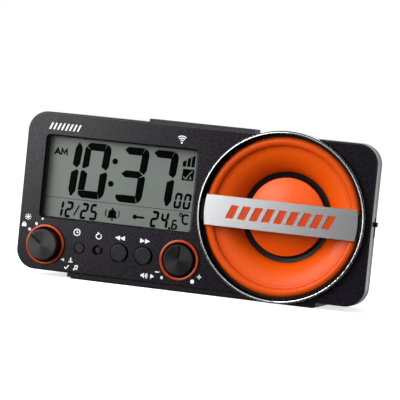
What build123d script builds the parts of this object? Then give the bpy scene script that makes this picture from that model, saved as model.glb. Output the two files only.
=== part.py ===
"""Digital alarm clock with a round speaker: every piece as its own solid, in millimetres.

X runs to the right, Y to the back and Z up. The origin is on the ground, under the middle of the case.
A depth is measured from the front face of the panel towards the back.
"""

import os
from math import radians, sqrt, tan

from build123d import *

# Clearances
seat_gap = 0.1
slide_gap = 0.25
running_gap = 0.05
cut_overrun = 1.0

# Case
panel_height = 79.6
panel_corner_radius = 10.0
panel_depth = 6.0
panel_edge_radius = 0.8
plate_thickness = 2.5
shell_wall = 2.0
foot_height = 2.7
case_depth = 44.0
side_bend_depth = 10.5
side_draw = 7.5
back_edge_radius = 2.5
vent_count = 5
vent_pitch = 4.4
vent_length = 26.0
vent_height = 1.6
vent_corner_share = 0.48

# Foot
foot_left_inset = 27.5
foot_right_inset = 24.0
foot_front_depth = 0.4
foot_back_inset = 5.0
foot_pad_thickness = 0.8
foot_pad_inset = 1.5
foot_edge_radius = 1.5

# Trim ring and its pocket in the panel
ring_overhang = 2.4
ring_side_gap = 2.75
ring_wall = 1.2
ring_proud = 4.0
ring_lip_width = 0.7
ring_lip_height = 1.0
pocket_depth = 4.0
pocket_gap = 0.2
pocket_wall = 1.2

# Display window and what lies behind it
window_left_inset = 10.0
window_bottom_inset = 26.3
window_top_inset = 11.1
window_rib = 2.65
window_corner_radius = 2.5
lens_setback = 1.0
lens_margin = 1.0
lens_field_gap = 0.45
lens_field_rise = 0.6
lens_field_bevel = 0.4
frame_lip = 0.8
frame_margin = 1.9
frame_rib_margin = 1.1
frame_lip_depth = 2.7
frame_wall = 0.9
glass_thickness = 2.4
guide_thickness = 2.2
guide_inset = 4.0
strip_width = 2.0
strip_end_inset = 5.0

# Circuit board
board_front_depth = 10.0
board_thickness = 1.6
board_edge_gap = 0.8
board_speaker_gap = 2.4
board_notch_drop = 4.0
standoff_radius = 2.4
standoff_low_drop = 5.5
standoff_left_gap = 12.9
standoff_right_gap = 9.5
standoff_top_inset = 6.1
standoff_corner_inset = 11.0
standoff_middle_inset = 48.0
post_hole_gap = 0.4
board_screw_radius = 1.2
board_screw_grip = 4.0
board_head_radius = 2.2
board_head_height = 1.3
chip_radius = 7.0
chip_height = 1.6
bead_radius = 1.3
bead_length = 3.2
bead_inset = 7.0
chip_left_inset = 36.0

# Control row
control_height = 13.0
mode_inset = 15.1
set_gap = 3.65
reset_gap = 2.2
back_gap = 2.05
forward_gap = 1.1
dial_gap = 2.4
dial_speaker_gap = 4.66
knob_radius = 8.0
knob_draft = 0.25
knob_edge_radius = 0.5
knob_back_depth = 2.0
mode_proud = 6.0
dial_proud = 2.6
pointer_width = 0.9
pointer_cut = 0.5
pointer_start_share = 0.12
mode_pointer_angle = 53.0
volume_pointer_angle = -2.0
mode_push = 1.2
knob_ring_radius = 10.5
knob_ring_bore = 8.45
knob_ring_proud = 1.2
knob_ring_edge_share = 0.2
knob_spigot_wall = 0.6
shaft_radius = 2.5
shaft_grip = 3.6
encoder_size = 12.0
encoder_front_depth = 5.2
encoder_bush_radius = 4.2
encoder_bush_length = 1.4
encoder_rim = 0.8
plunger_disc_thickness = 1.2
pot_radius = 8.0
pot_front_depth = 5.4

# Push buttons
button_hole_radius = 4.9
button_cap_radius = 4.3
button_proud = 1.2
set_hole_radius = 2.95
set_cap_radius = 2.5
set_proud = 0.3
reset_hole_radius = 2.65
reset_cap_radius = 1.6
reset_sunk = 0.9
button_edge_radius = 0.4
flange_overlap = 0.9
flange_thickness = 1.0
flange_gap = 0.3
stem_radius = 1.5
button_travel = 0.8
key_size = 6.0
key_height = 3.4
key_plunger_radius = 1.75
key_plunger_proud = 0.9
key_plunger_sunk = 1.4

# Snooze bar
snooze_left_inset = 60.6
snooze_right_inset = 64.8
snooze_front = 8.0
snooze_depth = 11.0
snooze_proud = 1.6
snooze_flange_drop = 0.4
snooze_flange_thickness = 1.2
snooze_flange_overlap = 1.2
snooze_edge_radius = 0.5
snooze_travel = 1.2
snooze_post_shares = [0.14, 0.46]
snooze_key_drop = 1.0

# Alarm slider on the right wall
slider_height = 41.0
slider_slot_height = 10.0
slider_slot_width = 3.0
slider_slot_drop = 1.5
slider_slot_depth = 8.4
slider_nub_height = 2.3
slider_nub_proud = 1.3
slider_plate_height = 7.0
slider_plate_width = 4.0
slider_plate_thickness = 1.4
slider_travel = 3.0
slider_pin_width = 1.6
slider_pin_length = 1.8
switch_thickness = 2.6
switch_height = 13.0
switch_rib_thickness = 1.2
switch_back_depth = 12.0

# Bar across the speaker
bar_height = 15.0
bar_end_gap = 2.4
bar_setback = 1.0
bar_thickness = 0.9
inlay_count = 9
inlay_pitch = 6.1
inlay_width = 4.0
inlay_height = 6.8
inlay_lean = 2.8
inlay_slot_depth = 0.5
inlay_setback = 0.25
bridge_height = 10.5
bridge_thickness = 1.3

# Speaker
rim_width = 4.4
rim_thickness = 1.8
rim_ring_gap = 0.4
basket_wall = 1.2
spider_edge_gap = 1.5
basket_floor_depth = 20.6
basket_floor_thickness = 1.9
basket_window_count = 6
basket_window_share = 0.62
basket_window_top_depth = 8.0
floor_bore_gap = 0.5
surround_sheet = 0.6
surround_roll_gap = 1.3
surround_roll_width = 4.5
surround_glue_width = 1.6
gasket_thickness = 0.5
cone_sheet = 0.7
cone_bow = 2.0
cone_seat_radius = 22.7
cone_seat_depth = 10.9
coil_radius = 10.0
coil_former_wall = 0.3
coil_winding_wall = 0.6
coil_winding_length = 5.0
coil_overhang_share = 0.175
coil_gap = 0.5
cone_neck_depth = 17.6
collar_inner_radius = 19.4
collar_width = 3.1
collar_thickness = 1.1
cap_lift = 1.6
cap_rise = 4.6
cap_sheet = 0.8
spider_outer_radius = 24.5
spider_sheet = 0.5
spider_wave_height = 1.0
spider_wave_count = 3
top_plate_radius = 25.0
top_plate_thickness = 3.0
magnet_outer_radius = 26.0
magnet_inner_radius = 14.0
magnet_back_room = 5.9
yoke_thickness = 2.6

# Battery compartment
cell_radius = 7.25
cell_length = 50.5
cell_tip_radius = 2.75
cell_tip_length = 1.2
cell_pitch = 15.2
cell_count = 3
cell_back_gap = 0.75
cell_left_inset = 20.4
cell_bottom = 16.05
contact_room = 3.6
contact_sheet = 0.4
contact_size = 9.0
box_wall = 1.5
box_floor_gap = 0.6
box_side_gap = 0.35
spring_radius = 3.6
spring_tip_radius = 2.4
spring_wall = 0.6
lid_edge_gap = 0.3
lid_tab_width = 8.0
lid_tab_drop = 2.6
lid_tab_thickness = 1.5
lid_tab_shares = [0.2, 0.8]
lid_tongue_width = 14.0
lid_tongue_height = 11.0
lid_slit_width = 0.9
lid_grip_count = 4
lid_grip_pitch = 1.8
lid_grip_width = 0.8
lid_grip_cut = 0.5

# Case screws
case_screw_radius = 1.4
case_head_radius = 2.7
case_head_height = 2.0
case_screw_grip = 10.0
boss_radius = 3.2
boss_end_depth = 24.0
screw_tube_radius = 4.2
screw_web = 2.0
screw_bottom_inset = 5.6
screw_top_inset = 5.6
screw_corner_inset = 14.6
screw_left_inset = 26.0
screw_pocket_gap = 2.17

# Time signal aerial
ferrite_radius = 4.0
ferrite_length = 44.0
ferrite_left_inset = 40.0
ferrite_top_inset = 10.0
ferrite_back_inset = 9.0
winding_radius = 5.2
winding_length = 16.0
cradle_width = 5.0
cradle_wall = 1.6
cradle_share = 0.16

# Places worked out from the sizes above
front_y = -case_depth / 2
panel_bottom = foot_height
panel_top = foot_height + panel_height
middle_z = foot_height + panel_height / 2
inner_back = case_depth - shell_wall

ring_outer = panel_height / 2 + ring_overhang
ring_inner = ring_outer - ring_wall
pocket_radius = ring_outer + pocket_gap
pocket_outer = pocket_radius + pocket_wall

control_z = panel_bottom + control_height
flange_radii = {
    "set": set_hole_radius + flange_overlap,
    "reset": reset_hole_radius + flange_overlap,
    "back": button_hole_radius + flange_overlap,
    "forward": button_hole_radius + flange_overlap,
}
set_offset = mode_inset + knob_ring_radius + set_gap + flange_radii["set"]
reset_offset = set_offset + flange_radii["set"] + reset_gap + flange_radii["reset"]
back_offset = reset_offset + flange_radii["reset"] + back_gap + flange_radii["back"]
forward_offset = back_offset + flange_radii["back"] + forward_gap + flange_radii["forward"]
dial_offset = forward_offset + flange_radii["forward"] + dial_gap + knob_ring_radius
pocket_half_width = sqrt(pocket_outer**2 - (middle_z - control_z) ** 2)
speaker_offset = dial_offset + knob_ring_radius + dial_speaker_gap + pocket_half_width

panel_width = speaker_offset + ring_outer + ring_side_gap
panel_left = -panel_width / 2
panel_right = panel_width / 2
speaker_x = panel_left + speaker_offset
mode_x = panel_left + mode_inset
volume_x = panel_left + dial_offset
button_x = {
    "set": panel_left + set_offset,
    "reset": panel_left + reset_offset,
    "back": panel_left + back_offset,
    "forward": panel_left + forward_offset,
}

window_left = panel_left + window_left_inset
window_right = speaker_x - pocket_radius - window_rib
window_bottom = panel_bottom + window_bottom_inset
window_top = panel_top - window_top_inset
glass_front = plate_thickness + frame_lip_depth
guide_front = glass_front + glass_thickness
board_back = board_front_depth + board_thickness
board_inset = shell_wall + board_edge_gap
board_left = panel_left + board_inset
board_notch_z = panel_top - board_inset - board_notch_drop
board_cut_radius = pocket_outer + board_speaker_gap

key_front = board_front_depth - key_height
stem_end = key_front - key_plunger_proud
plunger_front = board_front_depth - mode_push - plunger_disc_thickness - running_gap

snooze_left = panel_left + snooze_left_inset
snooze_right = panel_right - snooze_right_inset
snooze_back = snooze_front + snooze_depth
snooze_flange_top = panel_top - shell_wall - snooze_flange_drop
snooze_post_x = [snooze_left + share * (snooze_right - snooze_left) for share in snooze_post_shares]
snooze_key_top = board_notch_z - snooze_key_drop
snooze_key_depth = board_back + key_size / 2

slider_z = panel_bottom + slider_height
wall_inner_x = panel_right - shell_wall
slider_back_x = wall_inner_x - seat_gap - slider_plate_thickness
switch_face_x = slider_back_x - seat_gap
switch_z = slider_z - slider_travel / 2

rim_outer = ring_inner - rim_ring_gap
rim_inner_radius = rim_outer - rim_width
roll_outer = rim_outer - surround_roll_gap
roll_inner = roll_outer - surround_roll_width
rim_front = pocket_depth - rim_thickness
basket_seat_radius = spider_outer_radius + spider_edge_gap
sheet_front = rim_front - surround_sheet
former_outer = coil_radius + coil_former_wall
neck_radius = former_outer + running_gap
cone_lip_radius = roll_inner - surround_glue_width
collar_outer_radius = collar_inner_radius + collar_width
plate_front = basket_floor_depth + basket_floor_thickness
magnet_front = plate_front + top_plate_thickness
yoke_front = inner_back - magnet_back_room - yoke_thickness
coil_back = magnet_front + coil_overhang_share * (yoke_front - magnet_front)
pole_radius = coil_radius - coil_gap
plate_bore = former_outer + coil_winding_wall + coil_gap

cell_depth = inner_back - cell_back_gap - cell_radius
cell_left = panel_left + cell_left_inset
cell_z = [panel_bottom + cell_bottom + cell_radius + index * cell_pitch for index in range(cell_count)]
box_left = cell_left - contact_room
box_right = cell_left + cell_length + contact_room
box_bottom = cell_z[0] - cell_radius - box_side_gap
box_top = cell_z[-1] + cell_radius + box_side_gap
box_front = cell_depth - cell_radius - box_floor_gap

low_screw_z = panel_bottom + screw_bottom_inset
high_screw_z = panel_top - screw_top_inset
low_screw_reach = pocket_outer + boss_radius + screw_pocket_gap
low_screw_x = speaker_x - sqrt(low_screw_reach**2 - (middle_z - low_screw_z) ** 2)
case_screw_places = [
    (panel_left + screw_left_inset, low_screw_z),
    (low_screw_x, low_screw_z),
    (panel_left + screw_left_inset, high_screw_z),
    (panel_right - screw_corner_inset, high_screw_z),
    (panel_right - screw_corner_inset, low_screw_z),
]
standoff_low_z = window_bottom - standoff_low_drop
standoff_high_z = panel_top - standoff_top_inset
standoff_places = [
    (mode_x + standoff_left_gap, standoff_low_z),
    (volume_x - standoff_right_gap, standoff_low_z),
    (panel_left + standoff_corner_inset, standoff_high_z),
    (panel_left + standoff_middle_inset, standoff_high_z),
]
ferrite_left = panel_left + ferrite_left_inset
ferrite_z = panel_top - ferrite_top_inset
ferrite_depth = inner_back - ferrite_back_inset


# Shape helpers
def face_plane(depth):
    """Plane parallel to the front face, looking out of it, at a depth behind it."""
    return Plane(origin=(0, front_y + depth, 0), x_dir=(1, 0, 0), z_dir=(0, -1, 0))


def slab(outline, near, far):
    """Outline drawn in X and Z, as thick as the stretch between two depths."""
    return extrude(face_plane(far) * outline, amount=far - near)


def rectangle(left, right, bottom, top):
    return Pos((left + right) / 2, (bottom + top) / 2) * Rectangle(right - left, top - bottom)


def rounded(left, right, bottom, top, radius):
    shape = RectangleRounded(right - left, top - bottom, radius)
    return Pos((left + right) / 2, (bottom + top) / 2) * shape


def disc(x, z, radius):
    return Pos(x, z) * Circle(radius)


def block(left, right, near, far, bottom, top):
    return slab(rectangle(left, right, bottom, top), near, far)


def rod(x, z, radius, near, far):
    return slab(disc(x, z, radius), near, far)


def tube(x, z, outer, inner, near, far):
    return slab(disc(x, z, outer) - disc(x, z, inner), near, far)


def across(left, right, depth, z, radius):
    """Round bar that lies along X."""
    plane = Plane(origin=(left, front_y + depth, z), x_dir=(0, 1, 0), z_dir=(1, 0, 0))
    return extrude(plane * Circle(radius), amount=right - left)


def upright(x, depth, radius, bottom, top):
    """Round post that stands along Z."""
    return extrude(Pos(x, front_y + depth, bottom) * Circle(radius), amount=top - bottom)


def at_radius(radius, depth):
    """Point of a turned profile."""
    return (radius, front_y + depth)


def turned(profile, x, z):
    """Profile of radius and depth, turned about an axis that runs from front to back."""
    return Pos(x, 0, z) * revolve(profile, axis=Axis.Y)


def section(*corners):
    """Closed turned profile with straight sides."""
    return make_face(Polyline(*[at_radius(radius, depth) for radius, depth in corners], close=True))


def panel_outline(inset):
    return rounded(
        panel_left + inset,
        panel_right - inset,
        panel_bottom + inset,
        panel_top - inset,
        panel_corner_radius - inset,
    )


def edges_at_depth(solid, depth):
    y = front_y + depth
    return solid.edges().filter_by_position(Axis.Y, y - running_gap, y + running_gap)


# Case
def front_panel():
    """Front plate with its skirt, the window, the control holes and the round speaker pocket."""
    body = slab(panel_outline(0), 0, panel_depth)
    body = fillet(edges_at_depth(body, 0), panel_edge_radius)
    body -= slab(panel_outline(shell_wall), plate_thickness, panel_depth + cut_overrun)
    cup = rod(speaker_x, middle_z, pocket_outer, plate_thickness, panel_depth)
    body += cup & slab(panel_outline(0), plate_thickness, panel_depth)
    body += rod(speaker_x, middle_z, ring_outer, pocket_depth, panel_depth)
    body -= rod(speaker_x, middle_z, pocket_radius, -cut_overrun, pocket_depth)
    bore = rim_inner_radius + floor_bore_gap
    body -= rod(speaker_x, middle_z, bore, pocket_depth - cut_overrun, panel_depth + cut_overrun)
    opening = window_outline(0)
    body -= slab(opening, -cut_overrun, plate_thickness)
    body -= slab(lens_outline(0), lens_setback, plate_thickness)
    hole = knob_ring_bore + knob_spigot_wall + seat_gap
    for x in (mode_x, volume_x):
        body -= rod(x, control_z, hole, -cut_overrun, plate_thickness)
    for name, radius in button_holes.items():
        body -= rod(button_x[name], control_z, radius, -cut_overrun, plate_thickness)
    for x, z in case_screw_places:
        post = tube(x, z, boss_radius, case_screw_radius + running_gap, plate_thickness, boss_end_depth)
        body += post
    for x, z in standoff_places:
        bore = board_screw_radius + running_gap
        body += tube(x, z, standoff_radius, bore, plate_thickness, board_front_depth)
    return body


def case_form(inset, near, far):
    """Closed outer or inner form of the rear shell: straight walls, then sides that draw in."""
    side_slope = side_draw / (case_depth - side_bend_depth)
    draw = side_slope * (far - side_bend_depth)
    corner = panel_corner_radius - inset
    height = panel_height - 2 * inset
    wide = Pos(0, middle_z) * RectangleRounded(panel_width - 2 * inset, height, corner)
    narrow = Pos(0, middle_z) * RectangleRounded(panel_width - 2 * inset - 2 * draw, height, corner)
    straight = slab(wide, near, side_bend_depth)
    drawn = loft([face_plane(side_bend_depth) * wide, face_plane(far) * narrow], ruled=True)
    return straight + drawn


def rear_case():
    """Rear shell with the battery box, the screw tubes, the slider's slot and the aerial's cradles."""
    body = case_form(0, panel_depth, case_depth)
    body = fillet(edges_at_depth(body, case_depth), back_edge_radius)
    body -= case_form(shell_wall, panel_depth - cut_overrun, inner_back)
    box = block(
        box_left - box_wall, box_right + box_wall, box_front - box_wall, inner_back,
        box_bottom - box_wall, box_top + box_wall,
    )
    body += box
    body -= block(box_left, box_right, box_front, inner_back, box_bottom, box_top)
    body -= slab(lid_outline(0), inner_back - cut_overrun, case_depth + cut_overrun)
    for x in lid_tab_x():
        half = lid_tab_width / 2 + slide_gap
        drop = box_bottom - lid_tab_drop - slide_gap
        body -= block(x - half, x + half, inner_back - 2 * lid_tab_thickness, inner_back, drop, box_bottom)
    for x, z in case_screw_places:
        body += rod(x, z, screw_tube_radius, boss_end_depth, inner_back)
        body -= rod(x, z, case_screw_radius + slide_gap, boss_end_depth - cut_overrun, case_depth)
        sink = case_head_radius + slide_gap
        body -= rod(x, z, sink, boss_end_depth + screw_web, case_depth + cut_overrun)
    body -= snooze_slot()
    slot_bottom = slider_z - slider_slot_drop - slider_slot_height / 2
    body -= block(
        wall_inner_x - cut_overrun, panel_right + cut_overrun,
        slider_slot_depth - slider_slot_width / 2, slider_slot_depth + slider_slot_width / 2,
        slot_bottom, slot_bottom + slider_slot_height,
    )
    for side in (-1, 1):
        face = switch_z + side * (switch_height / 2 + seat_gap)
        low, high = sorted((face, face + side * switch_rib_thickness))
        rib_left = switch_face_x - switch_thickness
        body += block(rib_left, wall_inner_x, panel_depth + seat_gap, switch_back_depth, low, high)
    for x in cradle_x():
        body += cradle(x)
    for index in range(vent_count):
        z = middle_z + (index - (vent_count - 1) / 2) * vent_pitch
        half = vent_height / 2
        slot = rounded(
            speaker_x - vent_length / 2, speaker_x + vent_length / 2, z - half, z + half,
            vent_corner_share * vent_height,
        )
        body -= slab(slot, inner_back - cut_overrun, case_depth + cut_overrun)
    return body


def snooze_slot():
    gap = slide_gap
    return block(
        snooze_left - gap, snooze_right + gap, snooze_front - gap, snooze_back + gap,
        panel_top - shell_wall - cut_overrun, panel_top + cut_overrun,
    )


def base_foot():
    """Low foot under the case, notched round the trim ring."""
    outline = Pos(0, front_y) * rectangle(
        panel_left + foot_left_inset, panel_right - foot_right_inset,
        foot_front_depth, case_depth - foot_back_inset,
    )
    body = Pos(0, 0, foot_pad_thickness) * extrude(outline, amount=foot_height - foot_pad_thickness)
    body = fillet(body.edges().filter_by(Axis.Z), foot_edge_radius)
    return body - ring_notch()


def foot_pad():
    """Soft sheet under the foot, which carries the clock."""
    outline = Pos(0, front_y) * rectangle(
        panel_left + foot_left_inset + foot_pad_inset, panel_right - foot_right_inset - foot_pad_inset,
        foot_front_depth + foot_pad_inset, case_depth - foot_back_inset - foot_pad_inset,
    )
    body = extrude(outline, amount=foot_pad_thickness)
    body = fillet(body.edges().filter_by(Axis.Z), foot_edge_radius)
    return body - ring_notch()


def ring_notch():
    return rod(speaker_x, middle_z, pocket_radius, -cut_overrun, panel_depth + pocket_gap)


def case_screws():
    """Screws that draw the rear shell to the panel's posts, heads sunk in the screw tubes."""
    seat = boss_end_depth + screw_web
    screws = []
    for x, z in case_screw_places:
        screw = rod(x, z, case_head_radius, seat, seat + case_head_height)
        screw += rod(x, z, case_screw_radius, boss_end_depth - case_screw_grip, seat)
        screws.append(screw - screw_cross(x, z, seat + case_head_height, case_head_radius))
    return screws


def screw_cross(x, z, depth, head_radius):
    """Cross recess in a screw head that faces the back."""
    reach = head_radius / 2
    half = head_radius / 9
    floor = depth - head_radius / 3
    level = block(x - reach, x + reach, floor, depth + cut_overrun, z - half, z + half)
    return level + block(x - half, x + half, floor, depth + cut_overrun, z - reach, z + reach)


# Battery compartment
def lid_outline(gap):
    return rounded(
        box_left + gap, box_right - gap, box_bottom + gap, box_top - gap, window_corner_radius - gap
    )


def lid_tab_x():
    return [box_left + share * (box_right - box_left) for share in lid_tab_shares]


def battery_lid():
    """Door over the cells: two tabs at the foot, and a tongue between slits at the head."""
    body = slab(lid_outline(lid_edge_gap), inner_back, case_depth)
    middle = (box_left + box_right) / 2
    tongue_foot = box_top - lid_tongue_height
    for side in (-1, 1):
        slit = middle + side * lid_tongue_width / 2
        half = lid_slit_width / 2
        body -= block(
            slit - half, slit + half, inner_back - cut_overrun, case_depth + cut_overrun,
            tongue_foot, box_top + cut_overrun,
        )
    for index in range(lid_grip_count):
        low = tongue_foot + (index + 1) * lid_grip_pitch
        body -= block(
            middle - lid_tongue_width / 3, middle + lid_tongue_width / 3,
            case_depth - lid_grip_cut, case_depth + cut_overrun, low, low + lid_grip_width,
        )
    foot = box_bottom + lid_edge_gap
    tab_back = inner_back - running_gap
    for x in lid_tab_x():
        left = x - lid_tab_width / 2
        right = x + lid_tab_width / 2
        tab_near = tab_back - lid_tab_thickness
        body += block(left, right, tab_near, inner_back, foot, foot + lid_tab_thickness)
        body += block(left, right, tab_near, tab_back, box_bottom - lid_tab_drop, foot)
    return body


def cell_points_right(index):
    """Neighbouring cells lie head to tail."""
    return index % 2 == 0


def aa_cell(index):
    """Round cell with the small tip at its positive end."""
    z = cell_z[index]
    right = cell_left + cell_length
    if cell_points_right(index):
        can = across(cell_left, right - cell_tip_length, cell_depth, z, cell_radius)
        return can + across(right - cell_tip_length, right, cell_depth, z, cell_tip_radius)
    can = across(cell_left + cell_tip_length, right, cell_depth, z, cell_radius)
    return can + across(cell_left, cell_left + cell_tip_length, cell_depth, z, cell_tip_radius)


def contact_plate(z, on_right):
    half = contact_size / 2
    left = box_right - contact_sheet if on_right else box_left
    return block(left, left + contact_sheet, cell_depth - half, cell_depth + half, z - half, z + half)


def battery_plates():
    """Flat contacts on both end walls, with a raised button where a cell's tip meets one."""
    plates = []
    for index, z in enumerate(cell_z):
        tip_right = cell_points_right(index)
        head = contact_plate(z, tip_right)
        left = cell_left + cell_length if tip_right else box_left + contact_sheet
        right = box_right - contact_sheet if tip_right else cell_left
        plates.append(head + across(left, right, cell_depth, z, cell_tip_radius))
        plates.append(contact_plate(z, not tip_right))
    return plates


def battery_springs():
    """Tapered contact springs at the cells' flat ends, as thin sleeves."""
    springs = []
    for index, z in enumerate(cell_z):
        tip_right = cell_points_right(index)
        wide_x = box_left + contact_sheet if tip_right else box_right - contact_sheet
        narrow_x = cell_left if tip_right else cell_left + cell_length
        wide = Plane(origin=(wide_x, front_y + cell_depth, z), x_dir=(0, 1, 0), z_dir=(1, 0, 0))
        narrow = Plane(origin=(narrow_x, front_y + cell_depth, z), x_dir=(0, 1, 0), z_dir=(1, 0, 0))
        outer = loft([wide * Circle(spring_radius), narrow * Circle(spring_tip_radius)])
        bore_wide = wide * Circle(spring_radius - spring_wall)
        bore_narrow = narrow * Circle(spring_tip_radius - spring_wall)
        springs.append(outer - loft([bore_wide, bore_narrow]))
    return springs


# Display
def lens_outline(gap):
    grow = lens_margin - gap
    return rounded(
        window_left - grow, window_right + grow, window_bottom - grow, window_top + grow,
        window_corner_radius,
    )


def window_outline(inset):
    return rounded(
        window_left + inset, window_right - inset, window_bottom + inset, window_top - inset,
        window_corner_radius - inset,
    )


def window_lens():
    """Clear window, set into the back of the panel's plate, with a raised field in the opening."""
    body = slab(lens_outline(seat_gap), lens_setback, plate_thickness)
    field_face = lens_setback - lens_field_rise
    field = slab(window_outline(lens_field_gap), field_face, lens_setback)
    return body + chamfer(edges_at_depth(field, field_face), lens_field_bevel)


def frame_outline(inset):
    return rectangle(
        window_left - frame_margin + inset, window_right + frame_rib_margin - inset,
        window_bottom - frame_margin + inset, window_top + frame_margin - inset,
    )


def lcd_frame():
    """Dark frame behind the window, whose walls hold the display against the board."""
    body = slab(frame_outline(0), plate_thickness, board_front_depth)
    body -= slab(frame_outline(frame_wall), glass_front, board_front_depth + cut_overrun)
    return body - slab(window_outline(frame_lip), plate_thickness - cut_overrun, glass_front + cut_overrun)


def lcd_glass():
    return slab(frame_outline(frame_wall + seat_gap), glass_front, guide_front)


def lcd_backlight():
    """Light guide between the display and the board."""
    inset = frame_wall + seat_gap
    outline = frame_outline(inset) & rectangle(
        panel_left, panel_right, window_bottom + guide_inset, window_top - guide_inset
    )
    return slab(outline, guide_front, guide_front + guide_thickness)


def zebra_strips():
    """Elastic contact strips along the display's long edges."""
    left = window_left + strip_end_inset
    right = window_right - strip_end_inset
    strips = []
    for low in (window_bottom, window_top - strip_width):
        strips.append(block(left, right, guide_front, board_front_depth, low, low + strip_width))
    return strips


# Circuit board
def main_board():
    """Board that follows the case on the left and the speaker on the right."""
    right = volume_x + pot_radius + standoff_radius
    outline = panel_outline(board_inset) & rectangle(panel_left, right, panel_bottom, panel_top)
    outline -= disc(speaker_x, middle_z, board_cut_radius)
    notch_left = snooze_left - snooze_flange_overlap - slide_gap
    outline -= rectangle(notch_left, panel_right, board_notch_z, panel_top)
    for x, z in case_screw_places:
        outline -= disc(x, z, boss_radius + post_hole_gap)
    for x, z in standoff_places:
        outline -= disc(x, z, board_screw_radius + slide_gap)
    return slab(outline, board_front_depth, board_back)


def board_screws():
    screws = []
    for x, z in standoff_places:
        head_back = board_back + board_head_height
        screw = rod(x, z, board_head_radius, board_back, head_back)
        screw += rod(x, z, board_screw_radius, board_front_depth - board_screw_grip, board_back)
        screws.append(screw - screw_cross(x, z, head_back, board_head_radius))
    return screws


def controller_chip():
    """Chip under a low round cover on the back of the board."""
    cover = rod(panel_left + chip_left_inset, middle_z, chip_radius, board_back, board_back + chip_height)
    return fillet(edges_at_depth(cover, board_back + chip_height), chip_height / 2)


def thermistor():
    """Small bead that senses the temperature."""
    x = board_left + bead_inset
    bead = rod(x, middle_z, bead_radius, board_back, board_back + bead_length)
    return fillet(edges_at_depth(bead, board_back + bead_length), bead_radius / 2)


# Knobs
def knob_ring(x):
    """Rounded trim ring round a knob, with a spigot in the panel's hole."""
    crown = (knob_ring_bore + knob_ring_radius) / 2
    rise = knob_ring_proud / 2
    edge = knob_ring_edge_share * knob_ring_proud
    sides = Polyline(
        at_radius(knob_ring_radius, -edge), at_radius(knob_ring_radius, 0),
        at_radius(knob_ring_bore + knob_spigot_wall, 0),
        at_radius(knob_ring_bore + knob_spigot_wall, plate_thickness),
        at_radius(knob_ring_bore, plate_thickness), at_radius(knob_ring_bore, -rise),
    )
    bead = ThreePointArc(
        at_radius(knob_ring_bore, -rise), at_radius(crown, -knob_ring_proud),
        at_radius(knob_ring_radius, -edge),
    )
    return turned(make_face(sides + bead), x, control_z)


def knob(x, proud, pointer_angle):
    """Knob with drafted sides, a pointer groove across its face and a bore for its shaft."""
    profile = section(
        (0, -proud), (knob_radius - knob_draft, -proud), (knob_radius, knob_back_depth), (0, knob_back_depth)
    )
    body = turned(profile, x, control_z)
    body = fillet(edges_at_depth(body, -proud), knob_edge_radius)
    start = pointer_start_share * knob_radius
    groove = Pos(0, (start + knob_radius) / 2) * Rectangle(pointer_width, knob_radius - start)
    groove = Pos(x, control_z) * Rot(0, 0, pointer_angle) * groove
    body -= slab(groove, -proud - cut_overrun, -proud + pointer_cut)
    bore = shaft_radius + running_gap
    return body - rod(x, control_z, bore, knob_back_depth - shaft_grip, knob_back_depth + cut_overrun)


def mode_shaft():
    return rod(mode_x, control_z, shaft_radius, knob_back_depth - shaft_grip, plunger_front)


def mode_plunger():
    """Disc in the encoder that the shaft turns on and pushes."""
    radius = encoder_size / 2 - encoder_rim - running_gap
    return rod(mode_x, control_z, radius, plunger_front, plunger_front + plunger_disc_thickness)


def mode_encoder():
    """Rotary switch with a push contact, open at the back, where the board closes it."""
    half = encoder_size / 2
    body = block(
        mode_x - half, mode_x + half, encoder_front_depth, board_front_depth,
        control_z - half, control_z + half,
    )
    bush_front = encoder_front_depth - encoder_bush_length
    body += rod(mode_x, control_z, encoder_bush_radius, bush_front, encoder_front_depth)
    bore = shaft_radius + running_gap
    body -= rod(mode_x, control_z, bore, bush_front - cut_overrun, board_front_depth)
    room = plunger_front - running_gap
    return body - rod(mode_x, control_z, half - encoder_rim, room, board_front_depth + cut_overrun)


def volume_shaft():
    near = knob_back_depth - shaft_grip
    return rod(volume_x, control_z, shaft_radius, near, board_front_depth - flange_thickness)


def volume_pot():
    """Round potentiometer on the board."""
    body = rod(volume_x, control_z, pot_radius, pot_front_depth, board_front_depth)
    bush_front = pot_front_depth - encoder_bush_length
    body += rod(volume_x, control_z, encoder_bush_radius, bush_front, pot_front_depth)
    bore = shaft_radius + running_gap
    far = board_front_depth - flange_thickness + running_gap
    return body - rod(volume_x, control_z, bore, bush_front - cut_overrun, far)


# Push buttons and their switches
button_holes = {
    "set": set_hole_radius,
    "reset": reset_hole_radius,
    "back": button_hole_radius,
    "forward": button_hole_radius,
}
button_caps = {
    "set": set_cap_radius,
    "reset": reset_cap_radius,
    "back": button_cap_radius,
    "forward": button_cap_radius,
}
button_fronts = {
    "set": -set_proud,
    "reset": reset_sunk,
    "back": -button_proud,
    "forward": -button_proud,
}


def push_button(name):
    """Cap through the panel, with a flange behind the plate and a stem onto the switch."""
    x = button_x[name]
    front = button_fronts[name]
    flange_front = plate_thickness + flange_gap
    flange_back = flange_front + flange_thickness
    cap = rod(x, control_z, button_caps[name], front, flange_front)
    cap = fillet(edges_at_depth(cap, front), button_edge_radius)
    cap += rod(x, control_z, flange_radii[name], flange_front, flange_back)
    return cap + rod(x, control_z, stem_radius, flange_back, stem_end)


def key_plunger(name):
    return rod(button_x[name], control_z, key_plunger_radius, stem_end, key_front + key_plunger_sunk)


def key_switches():
    """Square switches on the front of the board, one behind each button."""
    half = key_size / 2
    bore = key_plunger_radius + running_gap
    floor = key_front + key_plunger_sunk + button_travel + running_gap
    keys = []
    for x in button_x.values():
        key = block(x - half, x + half, key_front, board_front_depth, control_z - half, control_z + half)
        keys.append(key - rod(x, control_z, bore, key_front - cut_overrun, floor))
    return keys


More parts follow.
